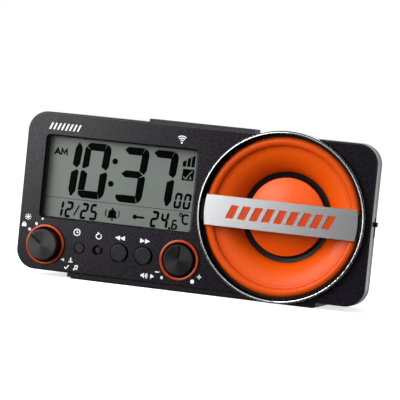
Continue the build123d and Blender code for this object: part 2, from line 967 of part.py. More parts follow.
def snooze_bar():
    """Long bar in the roof, with a flange under the roof and two posts onto the switches."""
    body = block(snooze_left, snooze_right, snooze_front, snooze_back, snooze_flange_top,
                 panel_top + snooze_proud)
    crown = panel_top + snooze_proud
    body = fillet(body.edges().filter_by_position(Axis.Z, crown - running_gap, crown + running_gap),
                  snooze_edge_radius)
    grow = snooze_flange_overlap
    flange_foot = snooze_flange_top - snooze_flange_thickness
    body += block(snooze_left - grow, snooze_right + grow, snooze_front - grow, snooze_back + grow,
                  flange_foot, snooze_flange_top)
    for x in snooze_post_x:
        body += upright(x, snooze_key_depth, stem_radius, snooze_key_top + key_plunger_proud, flange_foot)
    return body


def snooze_plungers():
    plungers = []
    for x in snooze_post_x:
        low = snooze_key_top - key_plunger_sunk
        high = snooze_key_top + key_plunger_proud
        plungers.append(upright(x, snooze_key_depth, key_plunger_radius, low, high))
    return plungers


def snooze_switches():
    """Upright switches on the back of the board, under the snooze bar's posts."""
    half = key_size / 2
    bore = key_plunger_radius + running_gap
    floor = snooze_key_top - key_plunger_sunk - snooze_travel - running_gap
    keys = []
    for x in snooze_post_x:
        key = block(x - half, x + half, board_back, board_back + key_size,
                    snooze_key_top - key_height, snooze_key_top)
        keys.append(key - upright(x, snooze_key_depth, bore, floor, snooze_key_top + cut_overrun))
    return keys


# Alarm slider
def alarm_slider():
    """Plate inside the wall with a nub through the slot and a pin into the switch."""
    near = slider_slot_depth - slider_plate_width / 2
    far = slider_slot_depth + slider_plate_width / 2
    half = slider_plate_height / 2
    body = block(slider_back_x, wall_inner_x - seat_gap, near, far, slider_z - half, slider_z + half)
    nub_half = slider_nub_height / 2
    nub_reach = slider_slot_width / 2 - slide_gap
    body += block(
        wall_inner_x - seat_gap, panel_right + slider_nub_proud,
        slider_slot_depth - nub_reach, slider_slot_depth + nub_reach,
        slider_z - nub_half, slider_z + nub_half,
    )
    pin = slider_pin_width / 2
    return body + block(
        slider_back_x - slider_pin_length, slider_back_x, slider_slot_depth - pin, slider_slot_depth + pin,
        slider_z - pin, slider_z + pin,
    )


def alarm_switch():
    """Slide switch between two ribs of the rear shell."""
    left = switch_face_x - switch_thickness
    half = switch_height / 2
    body = block(left, switch_face_x, panel_depth + seat_gap, switch_back_depth, switch_z - half, switch_z + half)
    pin = slider_pin_width / 2 + slide_gap
    return body - block(
        slider_back_x - slider_pin_length - slide_gap, switch_face_x + cut_overrun,
        slider_slot_depth - pin, slider_slot_depth + pin,
        slider_z - slider_travel - pin, slider_z + pin,
    )


# Trim ring and bar
def trim_ring():
    """Bright sleeve with a rounded lip and a step outside it."""
    lip_outer = ring_inner + ring_lip_width
    lip_rise = ring_lip_width / 2
    sides = Polyline(
        at_radius(lip_outer, lip_rise - ring_proud), at_radius(lip_outer, ring_lip_height - ring_proud),
        at_radius(ring_outer, ring_lip_height - ring_proud), at_radius(ring_outer, pocket_depth),
        at_radius(ring_inner, pocket_depth), at_radius(ring_inner, lip_rise - ring_proud),
    )
    lip = ThreePointArc(
        at_radius(ring_inner, lip_rise - ring_proud),
        at_radius(ring_inner + lip_rise, -ring_proud),
        at_radius(lip_outer, lip_rise - ring_proud),
    )
    return turned(make_face(sides + lip), speaker_x, middle_z)


def speaker_strip(height, radius, near, thickness):
    """Straight strip across the speaker, with ends that follow the ring."""
    half = height / 2
    strip = rectangle(panel_left, panel_right, middle_z - half, middle_z + half)
    return slab(strip & disc(speaker_x, middle_z, radius), near, near + thickness)


def inlay_outline(index, gap):
    """Leaning bar of the row along the front bar, made smaller all round by the gap."""
    middle = speaker_x + (index - (inlay_count - 1) / 2) * inlay_pitch
    half_width = inlay_width / 2 - gap
    half_height = inlay_height / 2 - gap
    half_lean = inlay_lean / 2
    low = middle_z - half_height
    high = middle_z + half_height
    corners = [
        (middle - half_lean - half_width, low), (middle - half_lean + half_width, low),
        (middle + half_lean + half_width, high), (middle + half_lean - half_width, high),
    ]
    return make_face(Polyline(*corners, close=True))


def front_bar():
    """Bright bar across the speaker, with a row of leaning slots in its face."""
    face = bar_setback - ring_proud
    body = speaker_strip(bar_height, ring_inner - bar_end_gap, face, bar_thickness)
    for index in range(inlay_count):
        body -= slab(inlay_outline(index, 0), face - cut_overrun, face + inlay_slot_depth)
    return body


def bar_inlays():
    """Coloured strips in the slots of the bar, sunk a little below its face."""
    face = bar_setback - ring_proud
    strips = []
    for index in range(inlay_count):
        outline = inlay_outline(index, running_gap)
        strips.append(slab(outline, face + inlay_setback, face + inlay_slot_depth))
    return strips


def bar_bridge():
    """Dark carrier behind the bar, from one wall of the ring to the other."""
    near = bar_setback - ring_proud + bar_thickness
    return speaker_strip(bridge_height, ring_inner - running_gap, near, bridge_thickness)


# Speaker
def speaker_gasket():
    return tube(speaker_x, middle_z, rim_outer, roll_outer + running_gap, sheet_front - gasket_thickness,
                sheet_front)


def surround():
    """Rubber roll between the basket's rim and the cone."""
    crest = (roll_outer + roll_inner) / 2
    rise = (roll_outer - roll_inner) / 2
    glue_inner = roll_inner - surround_glue_width
    top = Polyline(at_radius(rim_outer, sheet_front), at_radius(roll_outer, sheet_front))
    top += ThreePointArc(
        at_radius(roll_outer, sheet_front), at_radius(crest, sheet_front - rise),
        at_radius(roll_inner, sheet_front),
    )
    edge = Polyline(
        at_radius(roll_inner, sheet_front), at_radius(glue_inner, sheet_front),
        at_radius(glue_inner, rim_front), at_radius(roll_inner + surround_sheet, rim_front),
    )
    under = ThreePointArc(
        at_radius(roll_inner + surround_sheet, rim_front), at_radius(crest, rim_front - rise),
        at_radius(roll_outer - surround_sheet, rim_front),
    )
    foot = Polyline(
        at_radius(roll_outer - surround_sheet, rim_front), at_radius(rim_outer, rim_front),
        at_radius(rim_outer, sheet_front),
    )
    return turned(make_face(top + edge + under + foot), speaker_x, middle_z)


def cone_curve(behind):
    """Face of the cone, by a flare from its lip to a seat and straight to its neck, moved back by a distance."""
    middle_radius = (cone_lip_radius + cone_seat_radius) / 2
    middle_depth = (rim_front + cone_seat_depth) / 2 - cone_bow
    seat = at_radius(cone_seat_radius, cone_seat_depth + behind)
    flare = ThreePointArc(
        at_radius(cone_lip_radius, rim_front + behind), at_radius(middle_radius, middle_depth + behind), seat
    )
    return flare + Line(seat, at_radius(neck_radius, cone_neck_depth + behind))


def cone_slope_depth(radius):
    """Depth of the straight lines from the cone's lip to its seat and on to its neck."""
    if radius > cone_seat_radius:
        share = (cone_lip_radius - radius) / (cone_lip_radius - cone_seat_radius)
        return rim_front + share * (cone_seat_depth - rim_front)
    share = (cone_seat_radius - radius) / (cone_seat_radius - neck_radius)
    return cone_seat_depth + share * (cone_neck_depth - cone_seat_depth)


def cone():
    """Thin curved funnel with a flat lip under the surround."""
    edge = roll_inner - running_gap
    lip = Polyline(
        at_radius(cone_lip_radius, rim_front + cone_sheet), at_radius(edge, rim_front + cone_sheet),
        at_radius(edge, rim_front), at_radius(cone_lip_radius, rim_front),
    )
    neck = Line(at_radius(neck_radius, cone_neck_depth), at_radius(neck_radius, cone_neck_depth + cone_sheet))
    return turned(make_face(lip + cone_curve(0) + neck + cone_curve(cone_sheet)), speaker_x, middle_z)


def behind_cone():
    """Everything behind the cone's face, for what is glued to it."""
    far = cone_neck_depth + cap_rise
    back = Polyline(
        at_radius(neck_radius, cone_neck_depth), at_radius(neck_radius, far),
        at_radius(cone_lip_radius, far), at_radius(cone_lip_radius, rim_front),
    )
    return turned(make_face(cone_curve(0) + back), speaker_x, middle_z)


def coil_collar():
    """Black ring glued to the cone round the dust cap."""
    inner = cone_slope_depth(collar_inner_radius) - collar_thickness
    outer = cone_slope_depth(collar_outer_radius) - collar_thickness / 2
    blank = section(
        (collar_inner_radius, inner), (collar_outer_radius, outer),
        (collar_outer_radius, cone_neck_depth), (collar_inner_radius, cone_neck_depth),
    )
    return turned(blank, speaker_x, middle_z) - behind_cone()


def dust_cap():
    """Domed cap over the voice coil, glued to the cone inside the black ring."""
    rim = collar_inner_radius - running_gap
    rim_depth = cone_seat_depth - cap_lift
    inner_rim = rim - cap_sheet
    outer_arc = dome_arc(rim, rim_depth, cap_rise)
    skirt = Polyline(
        at_radius(rim, rim_depth), at_radius(rim, cone_neck_depth),
        at_radius(inner_rim, cone_neck_depth), at_radius(inner_rim, rim_depth),
    )
    inner_arc = dome_arc(inner_rim, rim_depth, cap_rise - cap_sheet)
    axis = Line(at_radius(0, rim_depth - cap_rise), at_radius(0, rim_depth - cap_rise + cap_sheet))
    blank = turned(make_face(outer_arc + skirt + inner_arc + axis), speaker_x, middle_z)
    return blank - behind_cone()


def dome_arc(rim, rim_depth, rise):
    """Arc of a shallow dome, from its crown on the axis to its rim."""
    ball = (rim * rim + rise * rise) / (2 * rise)
    half = rim / 2
    sag = ball - sqrt(ball * ball - half * half)
    return ThreePointArc(
        at_radius(0, rim_depth - rise), at_radius(half, rim_depth - rise + sag), at_radius(rim, rim_depth)
    )


def voice_coil():
    """Tube on the cone's neck with the winding at its far end."""
    front = cone_neck_depth - cone_sheet
    former = tube(speaker_x, middle_z, former_outer, coil_radius, front, coil_back)
    wound = former_outer + coil_winding_wall
    return former + tube(speaker_x, middle_z, wound, coil_radius, coil_back - coil_winding_length, coil_back)


def spider_depth():
    return basket_floor_depth - basket_floor_thickness / 2


def spider():
    """Corrugated disc that centres the voice coil."""
    depth = spider_depth() - spider_sheet
    inner = former_outer + running_gap
    outer = spider_outer_radius - spider_wave_height
    pitch = (outer - inner) / (2 * spider_wave_count)
    faces = []
    for behind in (0, spider_sheet):
        wave = None
        for index in range(2 * spider_wave_count):
            start = inner + index * pitch
            crest = -spider_wave_height if index % 2 == 0 else 0
            bend = ThreePointArc(
                at_radius(start, depth + behind),
                at_radius(start + pitch / 2, depth + behind + crest / 2 + spider_wave_height / 4),
                at_radius(start + pitch, depth + behind),
            )
            wave = bend if wave is None else wave + bend
        faces.append(wave)
    neck = Line(at_radius(inner, depth), at_radius(inner, depth + spider_sheet))
    flange = Polyline(
        at_radius(outer, depth), at_radius(spider_outer_radius, depth),
        at_radius(spider_outer_radius, depth + spider_sheet), at_radius(outer, depth + spider_sheet),
    )
    return turned(make_face(faces[0] + faces[1] + neck + flange), speaker_x, middle_z)


def basket():
    """Speaker frame: a rim on the pocket's floor, six windows and a floor for the magnet."""
    inner_wall = rim_inner_radius - basket_wall
    seat_outer = basket_seat_radius + basket_wall
    floor_bore = plate_bore + basket_wall
    ledge = spider_outer_radius - spider_wave_height
    floor_back = basket_floor_depth + basket_floor_thickness
    body = turned(
        section(
            (inner_wall, rim_front), (rim_outer, rim_front), (rim_outer, pocket_depth),
            (rim_inner_radius, pocket_depth), (rim_inner_radius, panel_depth),
            (seat_outer, basket_floor_depth), (seat_outer, floor_back), (floor_bore, floor_back),
            (floor_bore, basket_floor_depth), (ledge, basket_floor_depth), (ledge, spider_depth()),
            (basket_seat_radius, spider_depth()), (inner_wall, panel_depth),
        ),
        speaker_x,
        middle_z,
    )
    half_angle = radians(basket_window_share * 180 / basket_window_count)
    reach = ring_outer
    for index in range(basket_window_count):
        wedge = make_face(Polyline(
            (0, 0), (reach, -reach * tan(half_angle)), (reach, reach * tan(half_angle)), close=True
        ))
        wedge = Pos(speaker_x, middle_z) * Rot(0, 0, index * 360 / basket_window_count) * wedge
        body -= slab(wedge, basket_window_top_depth, spider_depth() - basket_wall)
    return body


def top_plate():
    return tube(speaker_x, middle_z, top_plate_radius, plate_bore, plate_front, magnet_front)


def magnet():
    return tube(speaker_x, middle_z, magnet_outer_radius, magnet_inner_radius, magnet_front, yoke_front)


def pole_yoke():
    """Pole in the voice coil, on the plate behind the magnet."""
    body = rod(speaker_x, middle_z, top_plate_radius, yoke_front, yoke_front + yoke_thickness)
    return body + rod(speaker_x, middle_z, pole_radius, plate_front, yoke_front)


# Time signal aerial
def cradle_x():
    return [ferrite_left + share * ferrite_length for share in (cradle_share, 1 - cradle_share)]


def cradle(x):
    """Half-round rest for the ferrite rod on the back wall."""
    half = cradle_width / 2
    reach = ferrite_radius + cradle_wall
    body = block(x - half, x + half, ferrite_depth, inner_back, ferrite_z - reach, ferrite_z + reach)
    return body - across(x - cradle_width, x + cradle_width, ferrite_depth, ferrite_z, ferrite_radius + seat_gap)


def antenna_rod():
    return across(ferrite_left, ferrite_left + ferrite_length, ferrite_depth, ferrite_z, ferrite_radius)


def antenna_coil():
    left = ferrite_left + (ferrite_length - winding_length) / 2
    right = left + winding_length
    sleeve = across(left, right, ferrite_depth, ferrite_z, winding_radius)
    return sleeve - across(left, right, ferrite_depth, ferrite_z, ferrite_radius + running_gap)


pieces = {
    "front_panel": front_panel(),
    "rear_case": rear_case(),
    "base_foot": base_foot(),
    "foot_pad": foot_pad(),
    "case_screws": case_screws(),
    "battery_lid": battery_lid(),
    "battery_plates": battery_plates(),
    "battery_springs": battery_springs(),
    "window_lens": window_lens(),
    "lcd_frame": lcd_frame(),
    "lcd_glass": lcd_glass(),
    "lcd_backlight": lcd_backlight(),
    "zebra_strips": zebra_strips(),
    "main_board": main_board(),
    "board_screws": board_screws(),
    "controller_chip": controller_chip(),
    "thermistor": thermistor(),
    "mode_ring": knob_ring(mode_x),
    "mode_knob": knob(mode_x, mode_proud, mode_pointer_angle),
    "mode_shaft": mode_shaft(),
    "mode_plunger": mode_plunger(),
    "mode_encoder": mode_encoder(),
    "volume_ring": knob_ring(volume_x),
    "volume_knob": knob(volume_x, dial_proud, volume_pointer_angle),
    "volume_shaft": volume_shaft(),
    "volume_pot": volume_pot(),
    "key_switches": key_switches(),
    "snooze_bar": snooze_bar(),
    "snooze_plungers": snooze_plungers(),
    "snooze_switches": snooze_switches(),
    "alarm_slider": alarm_slider(),
    "alarm_switch": alarm_switch(),
    "trim_ring": trim_ring(),
    "front_bar": front_bar(),
    "bar_inlays": bar_inlays(),
    "bar_bridge": bar_bridge(),
    "speaker_gasket": speaker_gasket(),
    "surround": surround(),
    "cone": cone(),
    "coil_collar": coil_collar(),
    "dust_cap": dust_cap(),
    "voice_coil": voice_coil(),
    "spider": spider(),
    "basket": basket(),
    "top_plate": top_plate(),
    "magnet": magnet(),
    "pole_yoke": pole_yoke(),
    "antenna_rod": antenna_rod(),
    "antenna_coil": antenna_coil(),
}
for name in button_x:
    pieces[f"{name}_button"] = push_button(name)
    pieces[f"{name}_plunger"] = key_plunger(name)
for index in range(cell_count):
    pieces[f"aa_cell_{index + 1}"] = aa_cell(index)

os.makedirs("parts", exist_ok=True)
for name, piece in pieces.items():
    if isinstance(piece, list):
        piece = Compound(children=piece)
    export_step(piece, f"parts/{name}.step")
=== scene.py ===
"""Looks of the digital alarm clock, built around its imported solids."""

import math

import bpy
from mathutils import Matrix, Quaternion, Vector


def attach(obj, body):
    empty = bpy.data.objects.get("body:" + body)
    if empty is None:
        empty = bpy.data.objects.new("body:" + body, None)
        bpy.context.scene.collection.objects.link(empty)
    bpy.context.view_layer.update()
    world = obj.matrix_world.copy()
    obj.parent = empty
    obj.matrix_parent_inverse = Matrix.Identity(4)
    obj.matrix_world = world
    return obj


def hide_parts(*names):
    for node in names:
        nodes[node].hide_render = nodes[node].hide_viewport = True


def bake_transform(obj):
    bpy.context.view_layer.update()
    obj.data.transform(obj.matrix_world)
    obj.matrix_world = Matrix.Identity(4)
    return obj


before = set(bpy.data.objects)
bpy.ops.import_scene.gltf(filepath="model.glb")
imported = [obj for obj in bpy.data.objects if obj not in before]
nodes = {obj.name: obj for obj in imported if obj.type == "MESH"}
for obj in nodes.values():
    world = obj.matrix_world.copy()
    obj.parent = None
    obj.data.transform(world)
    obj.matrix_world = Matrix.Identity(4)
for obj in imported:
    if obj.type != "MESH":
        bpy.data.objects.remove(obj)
scene = bpy.context.scene
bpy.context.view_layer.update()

millimetre = 0.001

# Places on the clock in millimetres, with depths behind the front face of the panel
front_y = -22.0
panel_depth = 0.0
glass_depth = 5.2
speaker_x = 45.05
speaker_z = 42.5
knob_z = 15.7
mode_x = -74.9
volume_x = -4.5
mode_face_depth = -6.0
volume_face_depth = -2.6
cell_band_x = -30.0
cell_band_fade = 0.1

# Bounds of the painted shade on the knob rings and on the ring round the speaker
knob_ring_crest_depth = -1.2
knob_ring_flank_depth = -0.96
ring_inner_radius = 41.0
ring_lip_radius = 41.7
ring_outer_radius = 42.2
ring_step_depth = -3.0
ring_edge_depth = 0.25
ring_free_height = 39.6
ring_fade = 0.05

# Light on the bar, level at its left and falling away to the right
bar_half_length = 40.0
bar_level_share = 0.35
bar_tilt = 0.66
bar_fall = 0.34

# Pointer grooves of the knobs, angles from straight up towards the left
pointer_start = 1.2
pointer_end = 7.45
pointer_width = 0.86
pointer_cut = 0.5
mode_pointer_angle = 53.0
volume_pointer_angle = -2.0

# Printed ink and display segments
ink_height = 0.03
ink_sink = 0.02
segment_height = 0.06
line_height = 0.04
over_height = 0.1
mitre_share = 0.4
arc_steps = 24

# Large digits of the display
digit_bottom = 41.05
digit_width = 13.7
digit_height = 27.5
digit_slant = 0.085
digit_lefts = (-77.9, -62.75, -42.75, -27.45)
colon_places = ((-44.35, 60.75), (-45.45, 49.35))
colon_radius = 1.5
digit_bold_share = 1.14

# Small digits of the display
small_width = 3.6
small_height = 7.9
small_slant = 0.105
small_bottom = 30.3
small_bold_share = 1.45
date_lefts = (-73.3, -68.3, -60.1, -55.2)
warmth_lefts = (-23.1, -17.95)
tenth_lefts = (-12.0,)
tenth_bottom = 30.2
tenth_width = 2.9
tenth_height = 4.8
second_lefts = (-11.85, -7.1)
second_bottom = 40.95
second_width = 3.45
second_height = 7.5
point_place = (-12.85, 30.5)
point_radius = 0.72
slash_line = ((-63.3, 31.5), (-60.85, 36.7))
slash_width = 0.75
divider_line = ((-79.6, 39.65), (-2.0, 39.65))
divider_width = 0.32

# Segment corners in an upright large digit
segment_corners = {
    "a": ((0.75, 26.05), (2.6, 27.5), (11.15, 27.5), (10.05, 24.15), (3.25, 24.15)),
    "b": ((11.5, 27.5), (12.75, 26.75), (13.5, 25.3), (13.7, 24.0), (13.7, 16.6), (12.7, 14.5),
          (10.35, 16.1), (10.35, 24.15)),
    "c": ((12.8, 13.8), (13.7, 12.6), (13.7, 3.4), (13.3, 1.7), (12.4, 0.45), (11.75, 0.0),
          (10.5, 3.3), (10.25, 12.4)),
    "d": ((0.0, 3.0), (3.2, 3.3), (10.2, 3.3), (11.4, 0.0), (2.6, 0.0), (1.1, 0.75), (0.25, 1.7)),
    "e": ((0.95, 13.8), (3.2, 12.1), (3.15, 3.65), (0.0, 3.35), (0.0, 12.75)),
    "f": ((0.3, 24.7), (0.8, 25.65), (3.2, 23.8), (3.3, 15.8), (0.95, 14.45), (0.2, 15.3)),
    "g": ((0.95, 14.1), (3.2, 15.7), (10.0, 15.7), (12.3, 14.15), (10.05, 12.6), (3.15, 12.6)),
    "upper": ((11.7, 27.4), (13.2, 25.6), (13.7, 23.8), (13.7, 16.8), (12.5, 14.45), (10.3, 16.1),
              (10.35, 24.3)),
    "lower": ((12.75, 13.8), (13.6, 12.6), (13.7, 2.9), (12.4, 0.5), (11.6, 0.1), (10.3, 3.4),
              (10.2, 12.2)),
}
flat_segments = ("a", "d", "g")
digit_segments = {
    "0": ("a", "b", "c", "d", "e", "f"),
    "1": ("upper", "lower"),
    "2": ("a", "b", "g", "e", "d"),
    "3": ("a", "b", "g", "c", "d"),
    "4": ("f", "g", "b", "c"),
    "5": ("a", "f", "g", "c", "d"),
    "6": ("a", "f", "g", "e", "d", "c"),
    "7": ("a", "b", "lower"),
}

# Curve between a screen's tones and linear light
full_tone = 255
curve_knee = 0.04045
curve_slope = 12.92
curve_offset = 0.055
curve_power = 2.4


def linear(red, green, blue):
    """Screen colour in 255ths as the linear colour that a shader takes."""
    shares = []
    for value in (red, green, blue):
        share = value / full_tone
        if share < curve_knee:
            shares.append(share / curve_slope)
        else:
            shares.append(((share + curve_offset) / (1 + curve_offset)) ** curve_power)
    return (*shares, 1.0)


# Materials
noise_low = 0.3
noise_high = 0.7
fine_detail = 4.0
cloud_detail = 2.0
cloud_scale = 45.0
cloud_share = 0.35
grains_in_speck = 3


def node_tree(name):
    """New material with its tree of nodes and its main shader."""
    material = bpy.data.materials.new(name)
    material.use_nodes = True
    tree = material.node_tree
    return material, tree, tree.nodes["Principled BSDF"]


def place_of(tree, stretch=None, centre=None):
    """Place on the piece in metres, moved to a centre or stretched along an axis where asked."""
    source = tree.nodes.new("ShaderNodeTexCoord").outputs["Object"]
    if stretch or centre:
        mapping = tree.nodes.new("ShaderNodeMapping")
        if stretch:
            mapping.inputs["Scale"].default_value = stretch
        if centre:
            mapping.inputs["Location"].default_value = [-value * millimetre for value in centre]
        tree.links.new(source, mapping.inputs["Vector"])
        source = mapping.outputs["Vector"]
    return source


def noise(tree, scale, detail=fine_detail, stretch=None):
    """Cloudy pattern on the piece, with its scale in clouds per metre."""
    texture = tree.nodes.new("ShaderNodeTexNoise")
    texture.inputs["Scale"].default_value = scale
    texture.inputs["Detail"].default_value = detail
    tree.links.new(place_of(tree, stretch), texture.inputs["Vector"])
    return texture.outputs[0]


def fill(tree, sockets_and_values):
    """Link or set each socket, as its value is another node's socket or a plain value."""
    for socket, value in sockets_and_values:
        if isinstance(value, bpy.types.NodeSocket):
            tree.links.new(value, socket)
        else:
            socket.default_value = value


def mixed(tree, factor, first, second):
    """Colour that runs from the first to the second with a factor."""
    factor_socket = 0
    first_colour_socket = 6
    second_colour_socket = 7
    colour_result = 2
    mix = tree.nodes.new("ShaderNodeMix")
    mix.data_type = "RGBA"
    fill(tree, (
        (mix.inputs[factor_socket], factor),
        (mix.inputs[first_colour_socket], first),
        (mix.inputs[second_colour_socket], second),
    ))
    return mix.outputs[colour_result]


def ranged(tree, value, low, high, from_low=noise_low, from_high=noise_high):
    """Value brought from a noise's usual range, or another one, to a new range."""
    node = tree.nodes.new("ShaderNodeMapRange")
    tree.links.new(value, node.inputs["Value"])
    node.inputs["From Min"].default_value = from_low
    node.inputs["From Max"].default_value = from_high
    node.inputs["To Min"].default_value = low
    node.inputs["To Max"].default_value = high
    return node.outputs["Result"]


def reckoned(tree, operation, first, second=0.0):
    """Sum, product or other result of one or two numbers."""
    node = tree.nodes.new("ShaderNodeMath")
    node.operation = operation
    fill(tree, ((node.inputs[0], first), (node.inputs[1], second)))
    return node.outputs[0]


def split(tree, vector):
    """The three numbers of a vector, by the names of their axes."""
    node = tree.nodes.new("ShaderNodeSeparateXYZ")
    tree.links.new(vector, node.inputs["Vector"])
    return node.outputs


def radius_of(tree, x, z):
    """Distance in metres from an axis that runs straight to the back."""
    axes = split(tree, place_of(tree, centre=(x, 0.0, z)))
    squares = [reckoned(tree, "MULTIPLY", axes[name], axes[name]) for name in ("X", "Z")]
    return reckoned(tree, "SQRT", reckoned(tree, "ADD", *squares))


def front_facing(tree):
    """One on faces that look straight to the front or back, down to none on the sides."""
    outward = split(tree, tree.nodes.new("ShaderNodeTexCoord").outputs["Normal"])["Y"]
    return reckoned(tree, "ABSOLUTE", outward)


def bumped(tree, height, depth):
    """Normal of a relief whose height of one is a depth in millimetres."""
    node = tree.nodes.new("ShaderNodeBump")
    node.inputs["Distance"].default_value = depth * millimetre
    tree.links.new(height, node.inputs["Height"])
    return node.outputs["Normal"]


def moulded(name, dark, light, rough, rough_spread=0.06, grain=2600.0, relief=0.012, specular=0.4,
            side_rough=None):
    """Moulded plastic or rubber: fine grain in colour, gloss and relief, with broad cloudy tone."""
    side_facing = 0.3
    face_facing = 0.9
    material, tree, shader = node_tree(name)
    fine = noise(tree, grain)
    cloud = noise(tree, cloud_scale, cloud_detail)
    speck = noise(tree, grain / grains_in_speck, cloud_detail)
    tone = mixed(tree, ranged(tree, fine, 0.0, 1.0), linear(*dark), linear(*light))
    shade = mixed(tree, ranged(tree, cloud, 0.0, cloud_share), tone, linear(*dark))
    tree.links.new(shade, shader.inputs["Base Color"])
    gloss = ranged(tree, speck, rough - rough_spread, rough + rough_spread)
    if side_rough:
        front = ranged(tree, front_facing(tree), 0.0, 1.0, side_facing, face_facing)
        side_gloss = ranged(tree, front, side_rough, 0.0, 0.0, 1.0)
        gloss = reckoned(tree, "ADD", side_gloss, reckoned(tree, "MULTIPLY", front, gloss))
    tree.links.new(gloss, shader.inputs["Roughness"])
    tree.links.new(bumped(tree, fine, relief), shader.inputs["Normal"])
    shader.inputs["Specular IOR Level"].default_value = specular
    return material


def metal(name, dark, light, rough, rough_spread=0.04, stretch=None, grain=900.0, relief=0.002):
    """Bare metal with fine marks, closer together along an axis that is stretched."""
    mark_detail = 6.0
    material, tree, shader = node_tree(name)
    marks = noise(tree, grain, mark_detail, stretch)
    cloud = noise(tree, cloud_scale, cloud_detail)
    tone = mixed(tree, ranged(tree, marks, 0.0, 1.0), linear(*dark), linear(*light))
    tree.links.new(tone, shader.inputs["Base Color"])
    gloss = ranged(tree, cloud, rough - rough_spread, rough + rough_spread)
    tree.links.new(gloss, shader.inputs["Roughness"])
    tree.links.new(bumped(tree, marks, relief), shader.inputs["Normal"])
    shader.inputs["Metallic"].default_value = 1.0
    return material


# Plain finishes, with colours in 255ths and reliefs in millimetres
looks = {
    "panel": moulded("panel_black", (5, 4, 6), (29, 24, 36), rough=0.25, rough_spread=0.05, grain=2200.0,
                     relief=0.0045, specular=0.25, side_rough=0.22),
    "case": moulded("case_black", (18, 16, 18), (32, 30, 33), rough=0.36, rough_spread=0.05, grain=1800.0,
                    relief=0.008, specular=0.22),
    "foot": moulded("foot_black", (5, 4, 6), (18, 16, 20), rough=0.34, rough_spread=0.05, grain=1900.0,
                    relief=0.006, specular=0.2),
    "pad": moulded("pad_rubber", (20, 20, 20), (32, 32, 32), rough=0.85, grain=1500.0, relief=0.02),
    "button": moulded("button_black", (6, 5, 8), (17, 15, 20), rough=0.3, relief=0.006, specular=0.32),
    "snooze": moulded("snooze_grey", (20, 19, 22), (36, 35, 39), rough=0.42, relief=0.008, specular=0.3),
    "frame": moulded("frame_black", (5, 5, 6), (11, 11, 12), rough=0.5, relief=0.006, specular=0.25),
    "cone": moulded("cone_orange", (217, 76, 3), (232, 90, 8), rough=0.38, rough_spread=0.05, grain=1400.0,
                    relief=0.004, specular=0.2),
    "cap": moulded("cap_orange", (228, 80, 3), (242, 94, 8), rough=0.36, rough_spread=0.05, grain=1400.0,
                   relief=0.004, specular=0.28),
    "surround": moulded("surround_orange", (208, 71, 6), (224, 86, 12), rough=0.36, rough_spread=0.05,
                        grain=1600.0, relief=0.005, specular=0.16),
    "inlay": moulded("inlay_orange", (184, 56, 12), (202, 70, 18), rough=0.35, rough_spread=0.05,
                     grain=1500.0, relief=0.004, specular=0.3),
    "collar": moulded("gasket_black", (11, 6, 7), (21, 12, 14), rough=0.42, relief=0.01, specular=0.16),
    "bridge": moulded("bridge_black", (7, 6, 6), (14, 12, 12), rough=0.55, relief=0.008, specular=0.15),
    # Black for the pointer groove floors is painted shade
    "groove": moulded("groove_shade_black", (3, 3, 3), (8, 8, 8), rough=0.6, relief=0.004, specular=0.1),
    "guide": moulded("guide_white", (214, 216, 212), (232, 233, 230), rough=0.4, grain=900.0),
    "strip": moulded("strip_pink", (206, 150, 150), (224, 172, 170), rough=0.6, grain=1200.0),
    "chip": moulded("chip_black", (14, 14, 15), (24, 24, 26), rough=0.4, grain=1200.0),
    "switch": moulded("switch_grey", (118, 120, 122), (150, 152, 154), rough=0.45, grain=1200.0),
    "basket": moulded("basket_black", (20, 20, 21), (34, 34, 35), rough=0.45, grain=1400.0, relief=0.01),
    "cloth": moulded("spider_cloth", (176, 132, 70), (204, 164, 98), rough=0.85, grain=3200.0, relief=0.05),
    "ferrite": moulded("ferrite", (36, 36, 38), (62, 62, 64), rough=0.6, grain=1400.0, relief=0.02),
    "ink": moulded("print_white", (232, 232, 232), (248, 248, 248), rough=0.6, grain=3000.0, relief=0.004),
    "segment": moulded("segment_black", (1, 2, 2), (4, 5, 5), rough=0.6, grain=900.0, relief=0.001,
                       specular=0.0),
    "hairline": moulded("hairline_grey", (30, 35, 32), (42, 47, 44), rough=0.5, grain=900.0, relief=0.001),
    "steel": metal("steel", (168, 168, 170), (206, 206, 208), rough=0.32),
    "copper": metal("coil_copper", (176, 92, 52), (214, 128, 80), rough=0.3, stretch=(8.0, 8.0, 8.0)),
}


def spun_knob(name, x, dark, light, rough, specular):
    """Black knob whose face carries the fine rings of a spun finish."""
    ring_scale = 3200.0
    ring_detail = 3.0
    rough_spread = 0.05
    drawn_out_share = 0.65
    material, tree, shader = node_tree(name)
    to_face = place_of(tree, centre=(x, 0.0, knob_z))
    radius = radius_of(tree, x, knob_z)
    rings = tree.nodes.new("ShaderNodeTexNoise")
    rings.noise_dimensions = "1D"
    rings.inputs["Scale"].default_value = ring_scale
    rings.inputs["Detail"].default_value = ring_detail
    tree.links.new(radius, rings.inputs["W"])
    tone = mixed(tree, ranged(tree, rings.outputs[0], 0.0, 1.0), linear(*dark), linear(*light))
    tree.links.new(tone, shader.inputs["Base Color"])
    gloss = ranged(tree, rings.outputs[0], rough - rough_spread, rough + rough_spread)
    tree.links.new(gloss, shader.inputs["Roughness"])
    along = tree.nodes.new("ShaderNodeVectorMath")
    along.operation = "CROSS_PRODUCT"
    along.inputs[1].default_value = (0.0, 1.0, 0.0)
    tree.links.new(to_face, along.inputs[0])
    tree.links.new(along.outputs["Vector"], shader.inputs["Tangent"])
    shader.inputs["Anisotropic"].default_value = drawn_out_share
    shader.inputs["Specular IOR Level"].default_value = specular
    return material


